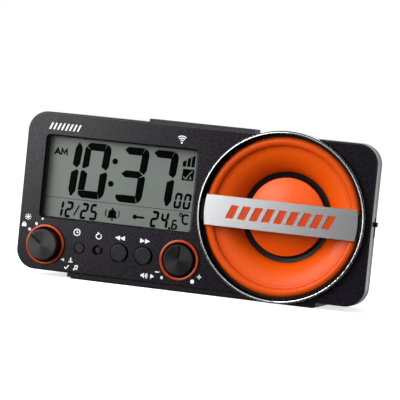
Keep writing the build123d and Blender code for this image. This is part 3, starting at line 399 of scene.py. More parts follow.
def tinted_ring():
    """Glossy tinted trim ring, with painted shade in deep red on the flanks that fall away from its crest.
    """
    painted_flank_shade = linear(70, 10, 4)
    material, tree, shader = node_tree("ring_orange")
    fine = noise(tree, scale=700.0)
    depth = split(tree, place_of(tree, centre=(0.0, front_y, 0.0)))["Y"]
    crest = ranged(tree, depth, 1.0, 0.0, knob_ring_crest_depth * millimetre,
                   knob_ring_flank_depth * millimetre)
    bright = mixed(tree, ranged(tree, fine, 0.0, 1.0), linear(166, 54, 16), linear(184, 67, 22))
    # Painted shade: the flanks behind the crest take the deep red in place of the ring's own colour
    tree.links.new(mixed(tree, crest, painted_flank_shade, bright), shader.inputs["Base Color"])
    tree.links.new(ranged(tree, fine, low=0.16, high=0.24), shader.inputs["Roughness"])
    tree.links.new(bumped(tree, fine, depth=0.001), shader.inputs["Normal"])
    shader.inputs["Specular IOR Level"].default_value = 0.4
    return material


def stepped(tree, value, start, low, high):
    """Value in metres as a sharp step from low to high, over a narrow edge that starts at a size."""
    return ranged(tree, value, low, high, start * millimetre, (start + ring_fade) * millimetre)


def trim_chrome():
    """Bright plated lip, outer edge and free side, with painted shade in black on the inner wall, the step
    and the rest of the outer wall.
    """
    painted_wall_shade = linear(8, 7, 8)
    material, tree, shader = node_tree("chrome_trim")
    marks = noise(tree, scale=900.0)
    radius = radius_of(tree, speaker_x, speaker_z)
    inside = stepped(tree, radius, ring_inner_radius + ring_fade, 0.0, 1.0)
    before_step = stepped(tree, radius, ring_lip_radius - ring_fade, 1.0, 0.0)
    beyond_step = stepped(tree, radius, ring_outer_radius - 2 * ring_fade, 0.0, 1.0)
    places = split(tree, place_of(tree, centre=(0.0, front_y, speaker_z)))
    edge_start = ring_step_depth + ring_edge_depth
    front_edge = ranged(tree, places["Y"], 1.0, 0.0, edge_start * millimetre,
                        (edge_start + ring_edge_depth) * millimetre)
    free = stepped(tree, reckoned(tree, "ABSOLUTE", places["Z"]), ring_free_height, 0.0, 1.0)
    side = reckoned(tree, "MULTIPLY", beyond_step, reckoned(tree, "MAXIMUM", front_edge, free))
    # Painted shade: where this mask is zero, the chrome gives way to black
    plated = reckoned(tree, "MULTIPLY", inside, reckoned(tree, "MAXIMUM", before_step, side))
    bright = mixed(tree, ranged(tree, marks, 0.0, 1.0), linear(226, 226, 228), linear(244, 244, 246))
    tree.links.new(mixed(tree, plated, painted_wall_shade, bright), shader.inputs["Base Color"])
    tree.links.new(plated, shader.inputs["Metallic"])
    tree.links.new(ranged(tree, marks, low=0.24, high=0.3), shader.inputs["Roughness"])
    tree.links.new(bumped(tree, marks, depth=0.001), shader.inputs["Normal"])
    shader.inputs["Specular IOR Level"].default_value = 0.2
    return material


def satin_bar():
    """Satin bar with faint lines along its length, lit as a face that bends away to the right."""
    line_stretch = (0.012, 1.0, 1.0)
    speck_tone = linear(228, 228, 230)
    speck_share = 0.12
    cube = 3.0
    material, tree, shader = node_tree("bar_silver")
    lines = noise(tree, scale=5200.0, detail=cloud_detail, stretch=line_stretch)
    fine = noise(tree, scale=2600.0, detail=cloud_detail)
    tone = mixed(tree, ranged(tree, lines, 0.0, 1.0), linear(233, 233, 235), linear(238, 238, 240))
    shade = mixed(tree, ranged(tree, fine, 0.0, speck_share), tone, speck_tone)
    tree.links.new(shade, shader.inputs["Base Color"])
    tree.links.new(ranged(tree, lines, low=0.25, high=0.262), shader.inputs["Roughness"])
    across = split(tree, place_of(tree, centre=(speaker_x, 0.0, 0.0)))["X"]
    reach = reckoned(tree, "DIVIDE", across, bar_half_length * millimetre)
    past = reckoned(tree, "MAXIMUM", reckoned(tree, "ADD", reach, bar_level_share), 0.0)
    bend = reckoned(tree, "MULTIPLY", reckoned(tree, "POWER", past, cube), bar_fall)
    fall = reckoned(tree, "SUBTRACT", reckoned(tree, "MULTIPLY", reach, bar_tilt), bend)
    tree.links.new(bumped(tree, fall, depth=1.0), shader.inputs["Normal"])
    shader.inputs["Metallic"].default_value = 1.0
    return material


def display_ground():
    """Grey-green reflector of the display, with broad faint blotches."""
    blotch_tone = linear(95, 101, 97)
    blotch_share = 0.5
    material, tree, shader = node_tree("lcd_grey")
    fine = noise(tree, scale=1500.0)
    cloud = noise(tree, scale=30.0, detail=cloud_detail)
    tone = mixed(tree, ranged(tree, fine, 0.0, 1.0), linear(101, 109, 103), linear(107, 114, 109))
    shade = mixed(tree, ranged(tree, cloud, 0.0, blotch_share), tone, blotch_tone)
    tree.links.new(shade, shader.inputs["Base Color"])
    tree.links.new(ranged(tree, cloud, low=0.34, high=0.42), shader.inputs["Roughness"])
    tree.links.new(bumped(tree, fine, depth=0.001), shader.inputs["Normal"])
    shader.inputs["Specular IOR Level"].default_value = 0.36
    return material


def clear_window():
    """Clear acrylic: nearly unseen across its face, with painted shade as a dark cover on its bevels and
    edges.
    """
    edge_shade_cover = 0.7
    face_cover = 0.015
    bevel_facing = 0.8
    face_facing = 0.98
    material, tree, shader = node_tree("lens_clear")
    cloud = noise(tree, scale=40.0, detail=cloud_detail)
    tone = mixed(tree, ranged(tree, cloud, 0.0, 1.0), linear(10, 11, 11), linear(20, 21, 21))
    tree.links.new(tone, shader.inputs["Base Color"])
    tree.links.new(ranged(tree, cloud, low=0.24, high=0.3), shader.inputs["Roughness"])
    # Painted shade: faces that turn away from the front get the dark tone nearly opaque
    cover = ranged(tree, front_facing(tree), edge_shade_cover, face_cover, bevel_facing, face_facing)
    tree.links.new(cover, shader.inputs["Alpha"])
    return material


def board_look():
    """Green board with brighter tracks."""
    track_scale = 180.0
    mask_tone = linear(16, 70, 38)
    mask_share = 0.4
    material, tree, shader = node_tree("board_green")
    bricks = tree.nodes.new("ShaderNodeTexBrick")
    bricks.inputs["Scale"].default_value = track_scale
    bricks.inputs["Color1"].default_value = linear(22, 88, 48)
    bricks.inputs["Color2"].default_value = linear(28, 100, 56)
    bricks.inputs["Mortar"].default_value = linear(46, 130, 78)
    mapping = tree.nodes.new("ShaderNodeMapping")
    mapping.inputs["Rotation"].default_value = (math.radians(90), 0.0, 0.0)
    tree.links.new(place_of(tree), mapping.inputs["Vector"])
    tree.links.new(mapping.outputs["Vector"], bricks.inputs["Vector"])
    fine = noise(tree, scale=900.0)
    tone = mixed(tree, ranged(tree, fine, 0.0, mask_share), bricks.outputs["Color"], mask_tone)
    tree.links.new(tone, shader.inputs["Base Color"])
    tree.links.new(ranged(tree, fine, low=0.3, high=0.42), shader.inputs["Roughness"])
    tree.links.new(bumped(tree, bricks.outputs["Fac"], depth=0.03), shader.inputs["Normal"])
    return material


def cell_look():
    """Wrapped cell: grey sleeve with a light band at one end."""
    band_tone = linear(196, 198, 200)
    material, tree, shader = node_tree("cell_wrap")
    fine = noise(tree, scale=1200.0)
    sleeve = mixed(tree, ranged(tree, fine, 0.0, 1.0), linear(70, 84, 96), linear(82, 96, 108))
    band = ranged(tree, split(tree, place_of(tree))["X"], 0.0, 1.0, cell_band_x * millimetre,
                  (cell_band_x + cell_band_fade) * millimetre)
    tree.links.new(mixed(tree, band, sleeve, band_tone), shader.inputs["Base Color"])
    tree.links.new(ranged(tree, fine, low=0.25, high=0.34), shader.inputs["Roughness"])
    tree.links.new(bumped(tree, fine, depth=0.003), shader.inputs["Normal"])
    return material


# Lit and shaded copies of one black plastic: the volume knob's darker tone is painted shade
looks["mode"] = spun_knob("mode_knob_lit_black", mode_x, (18, 15, 18), (27, 23, 27), rough=0.34,
                          specular=0.36)
looks["volume"] = spun_knob("volume_knob_shaded_black", volume_x, (10, 8, 11), (17, 14, 18), rough=0.34,
                            specular=0.25)
looks["ring"] = tinted_ring()
looks["chrome"] = trim_chrome()
looks["bar"] = satin_bar()
looks["glass"] = display_ground()
looks["lens"] = clear_window()
looks["board"] = board_look()
looks["cell"] = cell_look()

# Solids that wear each look
node_looks = {
    "panel": ("front_panel",),
    "case": ("rear_case", "battery_lid"),
    "foot": ("base_foot",),
    "pad": ("foot_pad",),
    "mode": ("mode_knob",),
    "volume": ("volume_knob",),
    "button": ("set_button", "reset_button", "back_button", "forward_button", "alarm_slider"),
    "snooze": ("snooze_bar",),
    "frame": ("lcd_frame",),
    "ring": ("mode_ring", "volume_ring"),
    "cone": ("cone",),
    "cap": ("dust_cap",),
    "surround": ("surround",),
    "inlay": ("bar_inlays",),
    "collar": ("coil_collar", "speaker_gasket"),
    "bridge": ("bar_bridge",),
    "guide": ("lcd_backlight",),
    "strip": ("zebra_strips",),
    "chip": ("controller_chip", "thermistor"),
    "switch": ("mode_plunger", "mode_encoder", "volume_pot", "key_switches", "snooze_plungers",
               "snooze_switches", "alarm_switch", "set_plunger", "reset_plunger", "back_plunger",
               "forward_plunger"),
    "basket": ("basket",),
    "cloth": ("spider",),
    "ferrite": ("magnet", "antenna_rod"),
    "chrome": ("trim_ring",),
    "bar": ("front_bar",),
    "steel": ("case_screws", "board_screws", "battery_plates", "battery_springs", "mode_shaft",
              "volume_shaft", "top_plate", "pole_yoke"),
    "copper": ("voice_coil", "antenna_coil"),
    "glass": ("lcd_glass",),
    "lens": ("window_lens",),
    "board": ("main_board",),
    "cell": ("aa_cell_1", "aa_cell_2", "aa_cell_3"),
}
for look, names in node_looks.items():
    for name in names:
        nodes[name].data.materials.clear()
        nodes[name].data.materials.append(looks[look])


def new_piece(name, vertices, faces, material):
    """Piece in the scene with a mesh and a look."""
    mesh = bpy.data.meshes.new(name)
    mesh.from_pydata(vertices, [], faces)
    mesh.update()
    mesh.materials.append(material)
    piece = bpy.data.objects.new(name, mesh)
    scene.collection.objects.link(piece)
    return piece


# Flat shapes on the front, as outlines of (x, z)
def facing(outline):
    """Outline that runs anticlockwise as seen from the front."""
    area = 0.0
    for (x, z), (next_x, next_z) in zip(outline, outline[1:] + outline[:1]):
        area += x * next_z - next_x * z
    return outline if area > 0 else outline[::-1]


def plates(name, outlines, depth, height, material, body="base"):
    """Thin plates on a flat face at a depth behind the panel's front."""
    vertices = []
    faces = []
    near = front_y + depth - height
    far = front_y + depth + ink_sink
    for outline in outlines:
        corners = facing(list(outline))
        start = len(vertices)
        count = len(corners)
        vertices += [Vector((x, near, z)) * millimetre for x, z in corners]
        vertices += [Vector((x, far, z)) * millimetre for x, z in corners]
        faces.append(tuple(range(start, start + count)))
        faces.append(tuple(reversed(range(start + count, start + 2 * count))))
        for index in range(count):
            after = (index + 1) % count
            faces.append((start + after, start + index, start + count + index, start + count + after))
    piece = new_piece(name, vertices, faces, material)
    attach(piece, body)
    return piece


def arc(x, z, radius, start, end, count=arc_steps, tall_share=1.0):
    """Points along an arc, angles in degrees from the right, anticlockwise."""
    points = []
    for index in range(count + 1):
        angle = math.radians(start + (end - start) * index / count)
        points.append((x + radius * math.cos(angle), z + tall_share * radius * math.sin(angle)))
    return points


def disc(x, z, radius):
    """Outline of a round spot."""
    return arc(x, z, radius, 0, 360)[:-1]


def line(points, width, closed=False):
    """Four-sided plates along a path, mitred where it turns."""
    places = [Vector(point) for point in points]
    count = len(places)
    sides = []
    for index, place in enumerate(places):
        before = places[index - 1] if index or closed else None
        after = places[(index + 1) % count] if index < count - 1 or closed else None
        ways = []
        if before is not None:
            ways.append((place - before).normalized())
        if after is not None:
            ways.append((after - place).normalized())
        across = [Vector((-way.y, way.x)) for way in ways]
        normal = sum(across, Vector((0.0, 0.0))).normalized()
        reach = width / 2 / max(normal.dot(across[0]), mitre_share)
        sides.append((place + normal * reach, place - normal * reach))
    outlines = []
    for index in range(count if closed else count - 1):
        after = (index + 1) % count
        quad = (sides[index][0], sides[after][0], sides[after][1], sides[index][1])
        outlines.append([tuple(corner) for corner in quad])
    return outlines


def thickened(name, share):
    """Corners of a segment made thicker by a share about its middle line."""
    corners = segment_corners[name]
    axis = 1 if name in flat_segments else 0
    values = [corner[axis] for corner in corners]
    middle = (min(values) + max(values)) / 2
    thick = []
    for corner in corners:
        moved = list(corner)
        moved[axis] = middle + share * (corner[axis] - middle)
        thick.append(moved)
    return thick


def digit(figure, left, bottom, width, height, slant, bold_share):
    """Segments of one figure, leaning to the right and thicker by a share."""
    outlines = []
    for name in digit_segments[figure]:
        outline = []
        for across, up in thickened(name, bold_share):
            x = across * width / digit_width
            z = up * height / digit_height
            outline.append((left + x + slant * z, bottom + z))
        outlines.append(outline)
    return outlines


def letter(strokes, left, bottom, width, height, thickness):
    """Strokes given as shares of a letter's width and height."""
    outlines = []
    for stroke in strokes:
        points = [(left + across * width, bottom + up * height) for across, up in stroke]
        outlines += line(points, thickness)
    return outlines


# Small generic signs, with their points as shares of their size
dial_hand_shares = ((0.0, 0.62), (0.0, 0.0), (0.5, 0.0))
return_head_shares = ((0.35, 1.0), (-0.55, 1.6), (-0.55, 0.4))
return_angles = (130, 410)
return_steps = 20
bell_angles = (200, -20)
bell_foot_shares = ((1.3, -1.1), (-1.3, -1.1))
clapper_height_share = -1.29
clapper_share = 0.38
clapper_steps = 12
bell_knob_height_share = 1.19
bell_knob_share = 0.24
wave_steps = 8
horn_box_shares = ((-1.0, -0.35), (-0.5, -0.35), (-0.5, 0.35), (-1.0, 0.35))
horn_shares = ((-0.5, -0.35), (0.1, -0.85), (0.1, 0.85), (-0.5, 0.35))
horn_wave_shares = (0.6, 1.1)
horn_wave_angles = (-45, 45)
press_head_shares = ((-0.6, 0.0), (0.0, -0.7), (0.6, 0.0))
press_stem_shares = ((0.0, 0.0), (0.0, 0.9))
press_ground_shares = ((-1.0, -0.95), (1.0, -0.95))
note_head_shares = ((0.0, 0.0), (1.3, 0.2))
note_head_share = 0.5
note_stem_shares = ((0.4, 0.0), (0.4, 1.9), (1.7, 2.1), (1.7, 0.2))
tick_shares = ((-1.0, 0.0), (-0.3, -0.7), (1.0, 0.9))
lock_body_shares = ((-1.0, -1.0), (1.0, -1.0), (1.0, 0.3), (-1.0, 0.3))
lock_bow_height_share = 0.3
lock_bow_share = 0.6
lock_bow_steps = 10
sun_disc_share = 0.5
sun_ray_shares = (0.75, 1.2)
sun_rays = 8


def placed(x, z, size, shares):
    """Points given as shares of a size, about a place."""
    return [(x + across * size, z + up * size) for across, up in shares]


def dial_sign(x, z, radius, width):
    """Round dial with two hands."""
    return line(disc(x, z, radius), width, True) + line(placed(x, z, radius, dial_hand_shares), width)


def return_sign(x, z, radius, width):
    """Arc that ends in an arrow head."""
    turn = line(arc(x, z, radius, *return_angles, return_steps), width)
    return turn + [placed(x, z, radius, return_head_shares)]


def bell_sign(x, z, radius):
    """Bell with its clapper and its knob."""
    body = arc(x, z, radius, *bell_angles) + placed(x, z, radius, bell_foot_shares)
    clapper = arc(x, z + clapper_height_share * radius, clapper_share * radius, 180, 360, clapper_steps)
    return [body, clapper, disc(x, z + bell_knob_height_share * radius, bell_knob_share * radius)]


def waves(x, z, radii, width, start, end):
    """Nested arcs that spread from one side."""
    outlines = []
    for radius in radii:
        outlines += line(arc(x, z, radius, start, end, wave_steps), width)
    return outlines


def horn_sign(x, z, size, width):
    """Loudspeaker with two waves."""
    radii = [share * size for share in horn_wave_shares]
    solid = [placed(x, z, size, horn_box_shares), placed(x, z, size, horn_shares)]
    return solid + waves(x, z, radii, width, *horn_wave_angles)


def press_sign(x, z, size, width):
    """Arrow that points down to a line."""
    outlines = [placed(x, z, size, press_head_shares)]
    for shares in (press_stem_shares, press_ground_shares):
        outlines += line(placed(x, z, size, shares), width)
    return outlines


def note_sign(x, z, size, width):
    """Two joined notes."""
    heads = []
    for place in placed(x, z, size, note_head_shares):
        heads.append(disc(*place, note_head_share * size))
    return heads + line(placed(x, z, size, note_stem_shares), width)


def tick_sign(x, z, size, width):
    """Tick mark."""
    return line(placed(x, z, size, tick_shares), width)


def lock_sign(x, z, size, width):
    """Padlock."""
    bow_z = z + lock_bow_height_share * size
    shackle = line(arc(x, bow_z, lock_bow_share * size, 0, 180, lock_bow_steps), width)
    return [placed(x, z, size, lock_body_shares)] + shackle


def sun_sign(x, z, radius, width):
    """Disc with rays all round."""
    outlines = [disc(x, z, sun_disc_share * radius)]
    for index in range(sun_rays):
        angle = 2 * math.pi * index / sun_rays
        shares = [(share * math.cos(angle), share * math.sin(angle)) for share in sun_ray_shares]
        outlines += line(placed(x, z, radius, shares), width)
    return outlines


def double_arrow(tip, z, reach, rise):
    """Two triangles in a row that point the way of the reach."""
    outlines = []
    for step in (0, 1):
        point = tip - step * reach
        outlines.append([(point, z), (point - reach, z + rise), (point - reach, z - rise)])
    return outlines


# Signs of the display
letter_a_shares = (((0.0, 0.0), (0.5, 1.0), (1.0, 0.0)), ((0.2, 0.35), (0.8, 0.35)))
letter_m_shares = (((0.0, 0.0), (0.08, 1.0), (0.5, 0.3), (0.92, 1.0), (1.0, 0.0)),)
half_day_bottom = 61.2
half_day_height = 3.0
half_day_stroke = 0.85
half_day_letters = ((letter_a_shares, -76.5, 2.9), (letter_m_shares, -73.0, 3.0))
signal_bars = (
    ((-9.2, 61.95), (-7.45, 61.95), (-7.25, 65.2), (-9.1, 64.4)),
    ((-6.9, 62.0), (-5.2, 62.0), (-5.0, 66.7), (-6.7, 65.95)),
    ((-4.7, 62.0), (-3.0, 62.0), (-2.8, 67.85), (-4.5, 66.95)),
)
mast_box = ((-9.05, 55.1), (-3.05, 55.1), (-2.75, 60.8), (-8.75, 60.8))
mast_paths = (((-6.9, 56.4), (-3.8, 59.9)), ((-8.3, 57.0), (-7.3, 55.9), (-6.0, 56.3)))
mast_foot = ((-5.2, 55.9), (-4.0, 55.9), (-4.55, 57.5))
mast_stroke = 0.5
degree_place = (-7.4, 37.9)
degree_radius = 0.75
degree_stroke = 0.62
unit_place = (-4.75, 35.8)
unit_radius = 1.75
unit_angles = (48, 312)
unit_tall_share = 1.3
unit_stroke = 0.98
bell_place = (-43.1, 34.6)
bell_radius = 2.1
bell_wave_radius = 3.6
bell_wave_angles = ((150, 205), (30, -25))
bell_wave_stroke = 0.5
bulb_place = (-31.2, 34.3)
bulb_radius = 1.15
bulb_end = (-26.2, 34.3)
bulb_stroke = 1.0

large_sizes = (digit_bottom, digit_width, digit_height, digit_slant, digit_bold_share)
small_sizes = (small_bottom, small_width, small_height, small_slant, small_bold_share)
tenth_sizes = (tenth_bottom, tenth_width, tenth_height, small_slant, small_bold_share)
second_sizes = (second_bottom, second_width, second_height, small_slant, small_bold_share)
figure_rows = (
    ("1037", digit_lefts, large_sizes),
    ("1225", date_lefts, small_sizes),
    ("24", warmth_lefts, small_sizes),
    ("6", tenth_lefts, tenth_sizes),
    ("00", second_lefts, second_sizes),
)
segments = []
for figures, lefts, sizes in figure_rows:
    for figure, left in zip(figures, lefts):
        segments += digit(figure, left, *sizes)
for place in colon_places:
    segments.append(disc(*place, colon_radius))
segments.append(disc(*point_place, point_radius))
segments += line(slash_line, slash_width)
for strokes, left, width in half_day_letters:
    segments += letter(strokes, left, half_day_bottom, width, half_day_height, half_day_stroke)
segments += signal_bars
segments.append(mast_box)
segments += line(disc(*degree_place, degree_radius), degree_stroke, True)
segments += line(arc(*unit_place, unit_radius, *unit_angles, tall_share=unit_tall_share), unit_stroke)
segments += bell_sign(*bell_place, bell_radius)
for start, end in bell_wave_angles:
    segments += waves(*bell_place, (bell_wave_radius,), bell_wave_stroke, start, end)
segments.append(disc(*bulb_place, bulb_radius))
segments += line((bulb_place, bulb_end), bulb_stroke)
mast_lines = [mast_foot]
for path in mast_paths:
    mast_lines += line(path, mast_stroke)
divider = line(divider_line, divider_width)
lcd_segments = plates("lcd_segments", segments, glass_depth, segment_height, looks["segment"])
lcd_divider = plates("lcd_divider", divider, glass_depth, line_height, looks["hairline"])
lcd_mast = plates("lcd_mast", mast_lines, glass_depth, over_height, looks["glass"])

# Print on the panel
stroke = 0.5
mode_dots = ((-80.7, 25.55, 0.72), (-84.1, 22.4, 0.72), (-77.7, 28.3, 0.5))
volume_dots = ((-12.6, 6.05, 0.7), (3.2, 5.9, 1.05))
push_mark = ((-66.2, 9.1), (-64.3, 10.0), (-64.3, 8.2))
volume_mark = ((-18.5, 7.2), (-18.5, 5.0), (-16.5, 6.1))
less_line = ((-16.3, 8.6), (-14.2, 8.6))
more_lines = (((5.4, 8.6), (7.6, 8.6)), ((6.5, 7.5), (6.5, 9.7)))
arrow_reach = 2.6
arrow_rise = 1.2
back_arrow_place = (-38.8, 23.2)
forward_arrow_place = (-20.4, 23.1)
slant_count = 8
slant_left = -79.0
slant_bottom = 73.6
slant_height = 3.4
slant_width = 0.9
slant_pitch = 2.1
slant_lean = 1.4
radio_place = (-9.3, 73.6)
radio_dot_radius = 0.5
radio_radii = (1.3, 2.3, 3.3)
radio_angles = (50, 130)
sign_places_and_sizes = (
    (sun_sign, -85.4, 28.5, 1.35),
    (lock_sign, -87.2, 24.6, 1.1),
    (dial_sign, -58.9, 23.5, 1.6),
    (return_sign, -47.3, 22.8, 1.35),
    (press_sign, -60.8, 9.5, 1.15),
    (tick_sign, -62.6, 5.6, 1.2),
    (note_sign, -58.6, 4.9, 0.95),
    (horn_sign, -22.0, 6.1, 1.6),
)
ink = []
for x, z, radius in mode_dots + volume_dots:
    ink.append(disc(x, z, radius))
ink += [push_mark, volume_mark]
for path in (less_line, *more_lines):
    ink += line(path, stroke)
ink += double_arrow(*back_arrow_place, -arrow_reach, arrow_rise)
ink += double_arrow(*forward_arrow_place, arrow_reach, arrow_rise)
for index in range(slant_count):
    left = slant_left + index * slant_pitch
    right = left + slant_width
    top = slant_bottom + slant_height
    foot = [(left, slant_bottom), (right, slant_bottom)]
    ink.append(foot + [(right + slant_lean, top), (left + slant_lean, top)])
ink.append(disc(*radio_place, radio_dot_radius))
ink += waves(*radio_place, radio_radii, stroke, *radio_angles)
for sign, x, z, size in sign_places_and_sizes:
    ink += sign(x, z, size, stroke)
panel_print = plates("panel_print", ink, panel_depth, ink_height, looks["ink"])


# Painted shade: black plates on the floors of the pointer grooves
def groove(x, angle):
    """Narrow outline along a knob's pointer, from near its axis to its edge."""
    lean = math.radians(angle)
    ends = []
    for reach in (pointer_start, pointer_end):
        ends.append((x - reach * math.sin(lean), knob_z + reach * math.cos(lean)))
    return line(ends, pointer_width)


mode_groove_shade = plates("mode_groove_shade", groove(mode_x, mode_pointer_angle), mode_face_depth + pointer_cut,
                     ink_height, looks["groove"], "mode_knob")
volume_groove_shade = plates("volume_groove_shade", groove(volume_x, volume_pointer_angle),
                       volume_face_depth + pointer_cut, ink_height, looks["groove"], "volume_knob")

# Wound contact springs of the battery box, each with the way along x that it points
spring_places = ((-72.5, 12.0, 26.0), (-16.2, 12.0, 41.2), (-72.5, 12.0, 56.4))
spring_ways = (1.0, -1.0, 1.0)
spring_length = 2.6
spring_wide_radius = 3.3
spring_tip_radius = 2.1
spring_turns = 3.5
wire_radius = 0.3
wire_sides = 10
turn_steps = 40
spring_sizes = {
    "Length": spring_length * millimetre,
    "Wide radius": spring_wide_radius * millimetre,
    "Tip radius": spring_tip_radius * millimetre,
    "Turns": spring_turns,
    "Wire radius": wire_radius * millimetre,
}


def spring_tree(material):
    """Tree that winds one tapered spring at each point and turns it the way the point faces."""
    tree = bpy.data.node_groups.new("wound_springs", "GeometryNodeTree")
    for side in ("INPUT", "OUTPUT"):
        tree.interface.new_socket(name="Geometry", in_out=side, socket_type="NodeSocketGeometry")
    for name, size in spring_sizes.items():
        socket = tree.interface.new_socket(name=name, in_out="INPUT", socket_type="NodeSocketFloat")
        socket.default_value = size
    add = tree.nodes.new
    link = tree.links.new
    source = add("NodeGroupInput")
    target = add("NodeGroupOutput")
    spiral = add("GeometryNodeCurveSpiral")
    spiral.inputs["Resolution"].default_value = turn_steps
    link(source.outputs["Turns"], spiral.inputs["Rotations"])
    link(source.outputs["Wide radius"], spiral.inputs["Start Radius"])
    link(source.outputs["Tip radius"], spiral.inputs["End Radius"])
    link(source.outputs["Length"], spiral.inputs["Height"])
    wire = add("GeometryNodeCurvePrimitiveCircle")
    wire.inputs["Resolution"].default_value = wire_sides
    link(source.outputs["Wire radius"], wire.inputs["Radius"])
    swept = add("GeometryNodeCurveToMesh")
    swept.inputs["Fill Caps"].default_value = True
    link(spiral.outputs["Curve"], swept.inputs["Curve"])
    link(wire.outputs["Curve"], swept.inputs["Profile Curve"])
    way = add("GeometryNodeInputNamedAttribute")
    way.data_type = "FLOAT"
    way.inputs["Name"].default_value = "way"
    angle = add("ShaderNodeMath")
    angle.operation = "MULTIPLY"
    angle.inputs[1].default_value = math.pi / 2
    link(way.outputs["Attribute"], angle.inputs[0])
    turn = add("ShaderNodeCombineXYZ")
    link(angle.outputs["Value"], turn.inputs["Y"])
    copies = add("GeometryNodeInstanceOnPoints")
    link(source.outputs["Geometry"], copies.inputs["Points"])
    link(swept.outputs["Mesh"], copies.inputs["Instance"])
    link(turn.outputs["Vector"], copies.inputs["Rotation"])
    real = add("GeometryNodeRealizeInstances")
    link(copies.outputs["Instances"], real.inputs["Geometry"])
    dressed = add("GeometryNodeSetMaterial")
    dressed.inputs["Material"].default_value = material
    link(real.outputs["Geometry"], dressed.inputs["Geometry"])
    link(dressed.outputs["Geometry"], target.inputs["Geometry"])
    return tree


def wound_springs():
    """Springs at the flat ends of the cells, as one plain mesh."""
    seeds = bpy.data.meshes.new("spring_seeds")
    seeds.from_pydata([Vector(place) * millimetre for place in spring_places], [], [])
    ways = seeds.attributes.new("way", "FLOAT", "POINT")
    ways.data.foreach_set("value", spring_ways)
    holder = bpy.data.objects.new("spring_seeds", seeds)
    scene.collection.objects.link(holder)
    modifier = holder.modifiers.new("winding", "NODES")
    modifier.node_group = spring_tree(looks["steel"])
    for socket in modifier.node_group.interface.items_tree:
        if socket.name in spring_sizes:
            modifier[socket.identifier] = spring_sizes[socket.name]
    ready = holder.evaluated_get(bpy.context.evaluated_depsgraph_get())
    mesh = bpy.data.meshes.new_from_object(ready)
    mesh.name = "wound_springs"
    mesh.shade_smooth()
    piece = bpy.data.objects.new("wound_springs", mesh)
    scene.collection.objects.link(piece)
    bpy.data.objects.remove(holder)
    bpy.data.meshes.remove(seeds)
    return piece


springs = wound_springs()
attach(springs, "base")
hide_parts("battery_springs")

# Flexing rings of the speaker, built as sectors of a turned ring
sector_steps = 12
bend_steps = 10
surround_sectors = 12
spider_sectors = 8
rim_radius = 40.6
roll_outer_radius = 39.3
roll_inner_radius = 34.8
glue_inner_radius = 33.2
sheet_front_depth = 1.6
glue_front_depth = 2.1
sheet_back_depth = 2.2
sheet_thickness = 0.6
spider_inner_radius = 10.35
spider_wave_radius = 23.5
spider_outer_radius = 24.5
spider_front_depth = 19.15
spider_thickness = 0.5
spider_bends = 6
spider_rise = 0.25
sharp_angle = math.radians(40)


def bow(start, end, depth, rise):
    """Points of a bend between two radii, without the last one; a rise below zero goes to the back."""
    half = (start - end) / 2
    height = abs(rise)
    size = (half * half + height * height) / (2 * height)
    spread = math.atan2(half, size - height)
    points = []
    for index in range(bend_steps):
        angle = spread * (1 - 2 * index / bend_steps)
        reach = size * math.cos(angle) - size + height
        points.append(((start + end) / 2 + size * math.sin(angle), depth - math.copysign(reach, rise)))
    return points


def surround_profile():
    """Radii and depths round the section of the roll and its two glued edges."""
    rise = (roll_outer_radius - roll_inner_radius) / 2
    under_outer = roll_outer_radius - sheet_thickness
    under_inner = roll_inner_radius + sheet_thickness
    return [
        (rim_radius, sheet_front_depth),
        *bow(roll_outer_radius, roll_inner_radius, sheet_front_depth, rise),
        (roll_inner_radius, sheet_front_depth),
        (glue_inner_radius, glue_front_depth),
        (glue_inner_radius, sheet_back_depth),
        *bow(under_inner, under_outer, sheet_back_depth, rise),
        (under_outer, sheet_back_depth),
        (rim_radius, sheet_back_depth),
    ]


def spider_profile():
    """Radii and depths round the section of the corrugated disc."""
    pitch = (spider_wave_radius - spider_inner_radius) / spider_bends
    radii = [spider_inner_radius + index * pitch for index in range(spider_bends + 1)]
    back_depth = spider_front_depth + spider_thickness
    front = []
    behind = []
    for index in range(spider_bends):
        rise = spider_rise if index % 2 == 0 else -spider_rise
        front += bow(radii[index], radii[index + 1], spider_front_depth, rise)
        behind = bow(radii[index + 1], radii[index], back_depth, rise) + behind
    edge = [(radii[-1], spider_front_depth), (spider_outer_radius, spider_front_depth),
            (spider_outer_radius, back_depth)]
    return front + edge + behind + [(radii[0], back_depth)]


def flexing_ring(node, profile, sectors, material):
    """Closed sectors of a turned ring in place of its solid, which is hidden."""
    count = len(profile)
    width = 2 * math.pi / sectors
    for sector in range(sectors):
        vertices = []
        last = sector_steps * count
        faces = [tuple(range(count)), tuple(reversed(range(last, last + count)))]
        for step in range(sector_steps + 1):
            angle = width * (sector + step / sector_steps)
            for radius, depth in profile:
                x = speaker_x + radius * math.cos(angle)
                z = speaker_z + radius * math.sin(angle)
                vertices.append(Vector((x, front_y + depth, z)) * millimetre)
        for step in range(sector_steps):
            near = step * count
            for index in range(count):
                after = (index + 1) % count
                faces.append((near + after, near + index, near + count + index, near + count + after))
        piece = new_piece(f"{node}_{sector + 1}", vertices, faces, material)
        piece.data.shade_smooth()
        piece.data.set_sharp_from_angle(angle=sharp_angle)
        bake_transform(piece)
        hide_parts(node)


flexing_ring("surround", surround_profile(), surround_sectors,
             looks["surround"])
flexing_ring("spider", spider_profile(), spider_sectors,
             looks["cloth"])

# Camera as the photograph was taken
picture_width = 400
focal_pixels = 2420.1
sensor_width = 36.0
camera_yaw = math.radians(15.648)
camera_pitch = math.radians(2.059)
camera_roll = math.radians(5.824)
camera_distance = 1193.85
camera_target = Vector((2.99, front_y, 46.47))
nearest_view = 50.0
farthest_view = 50000.0


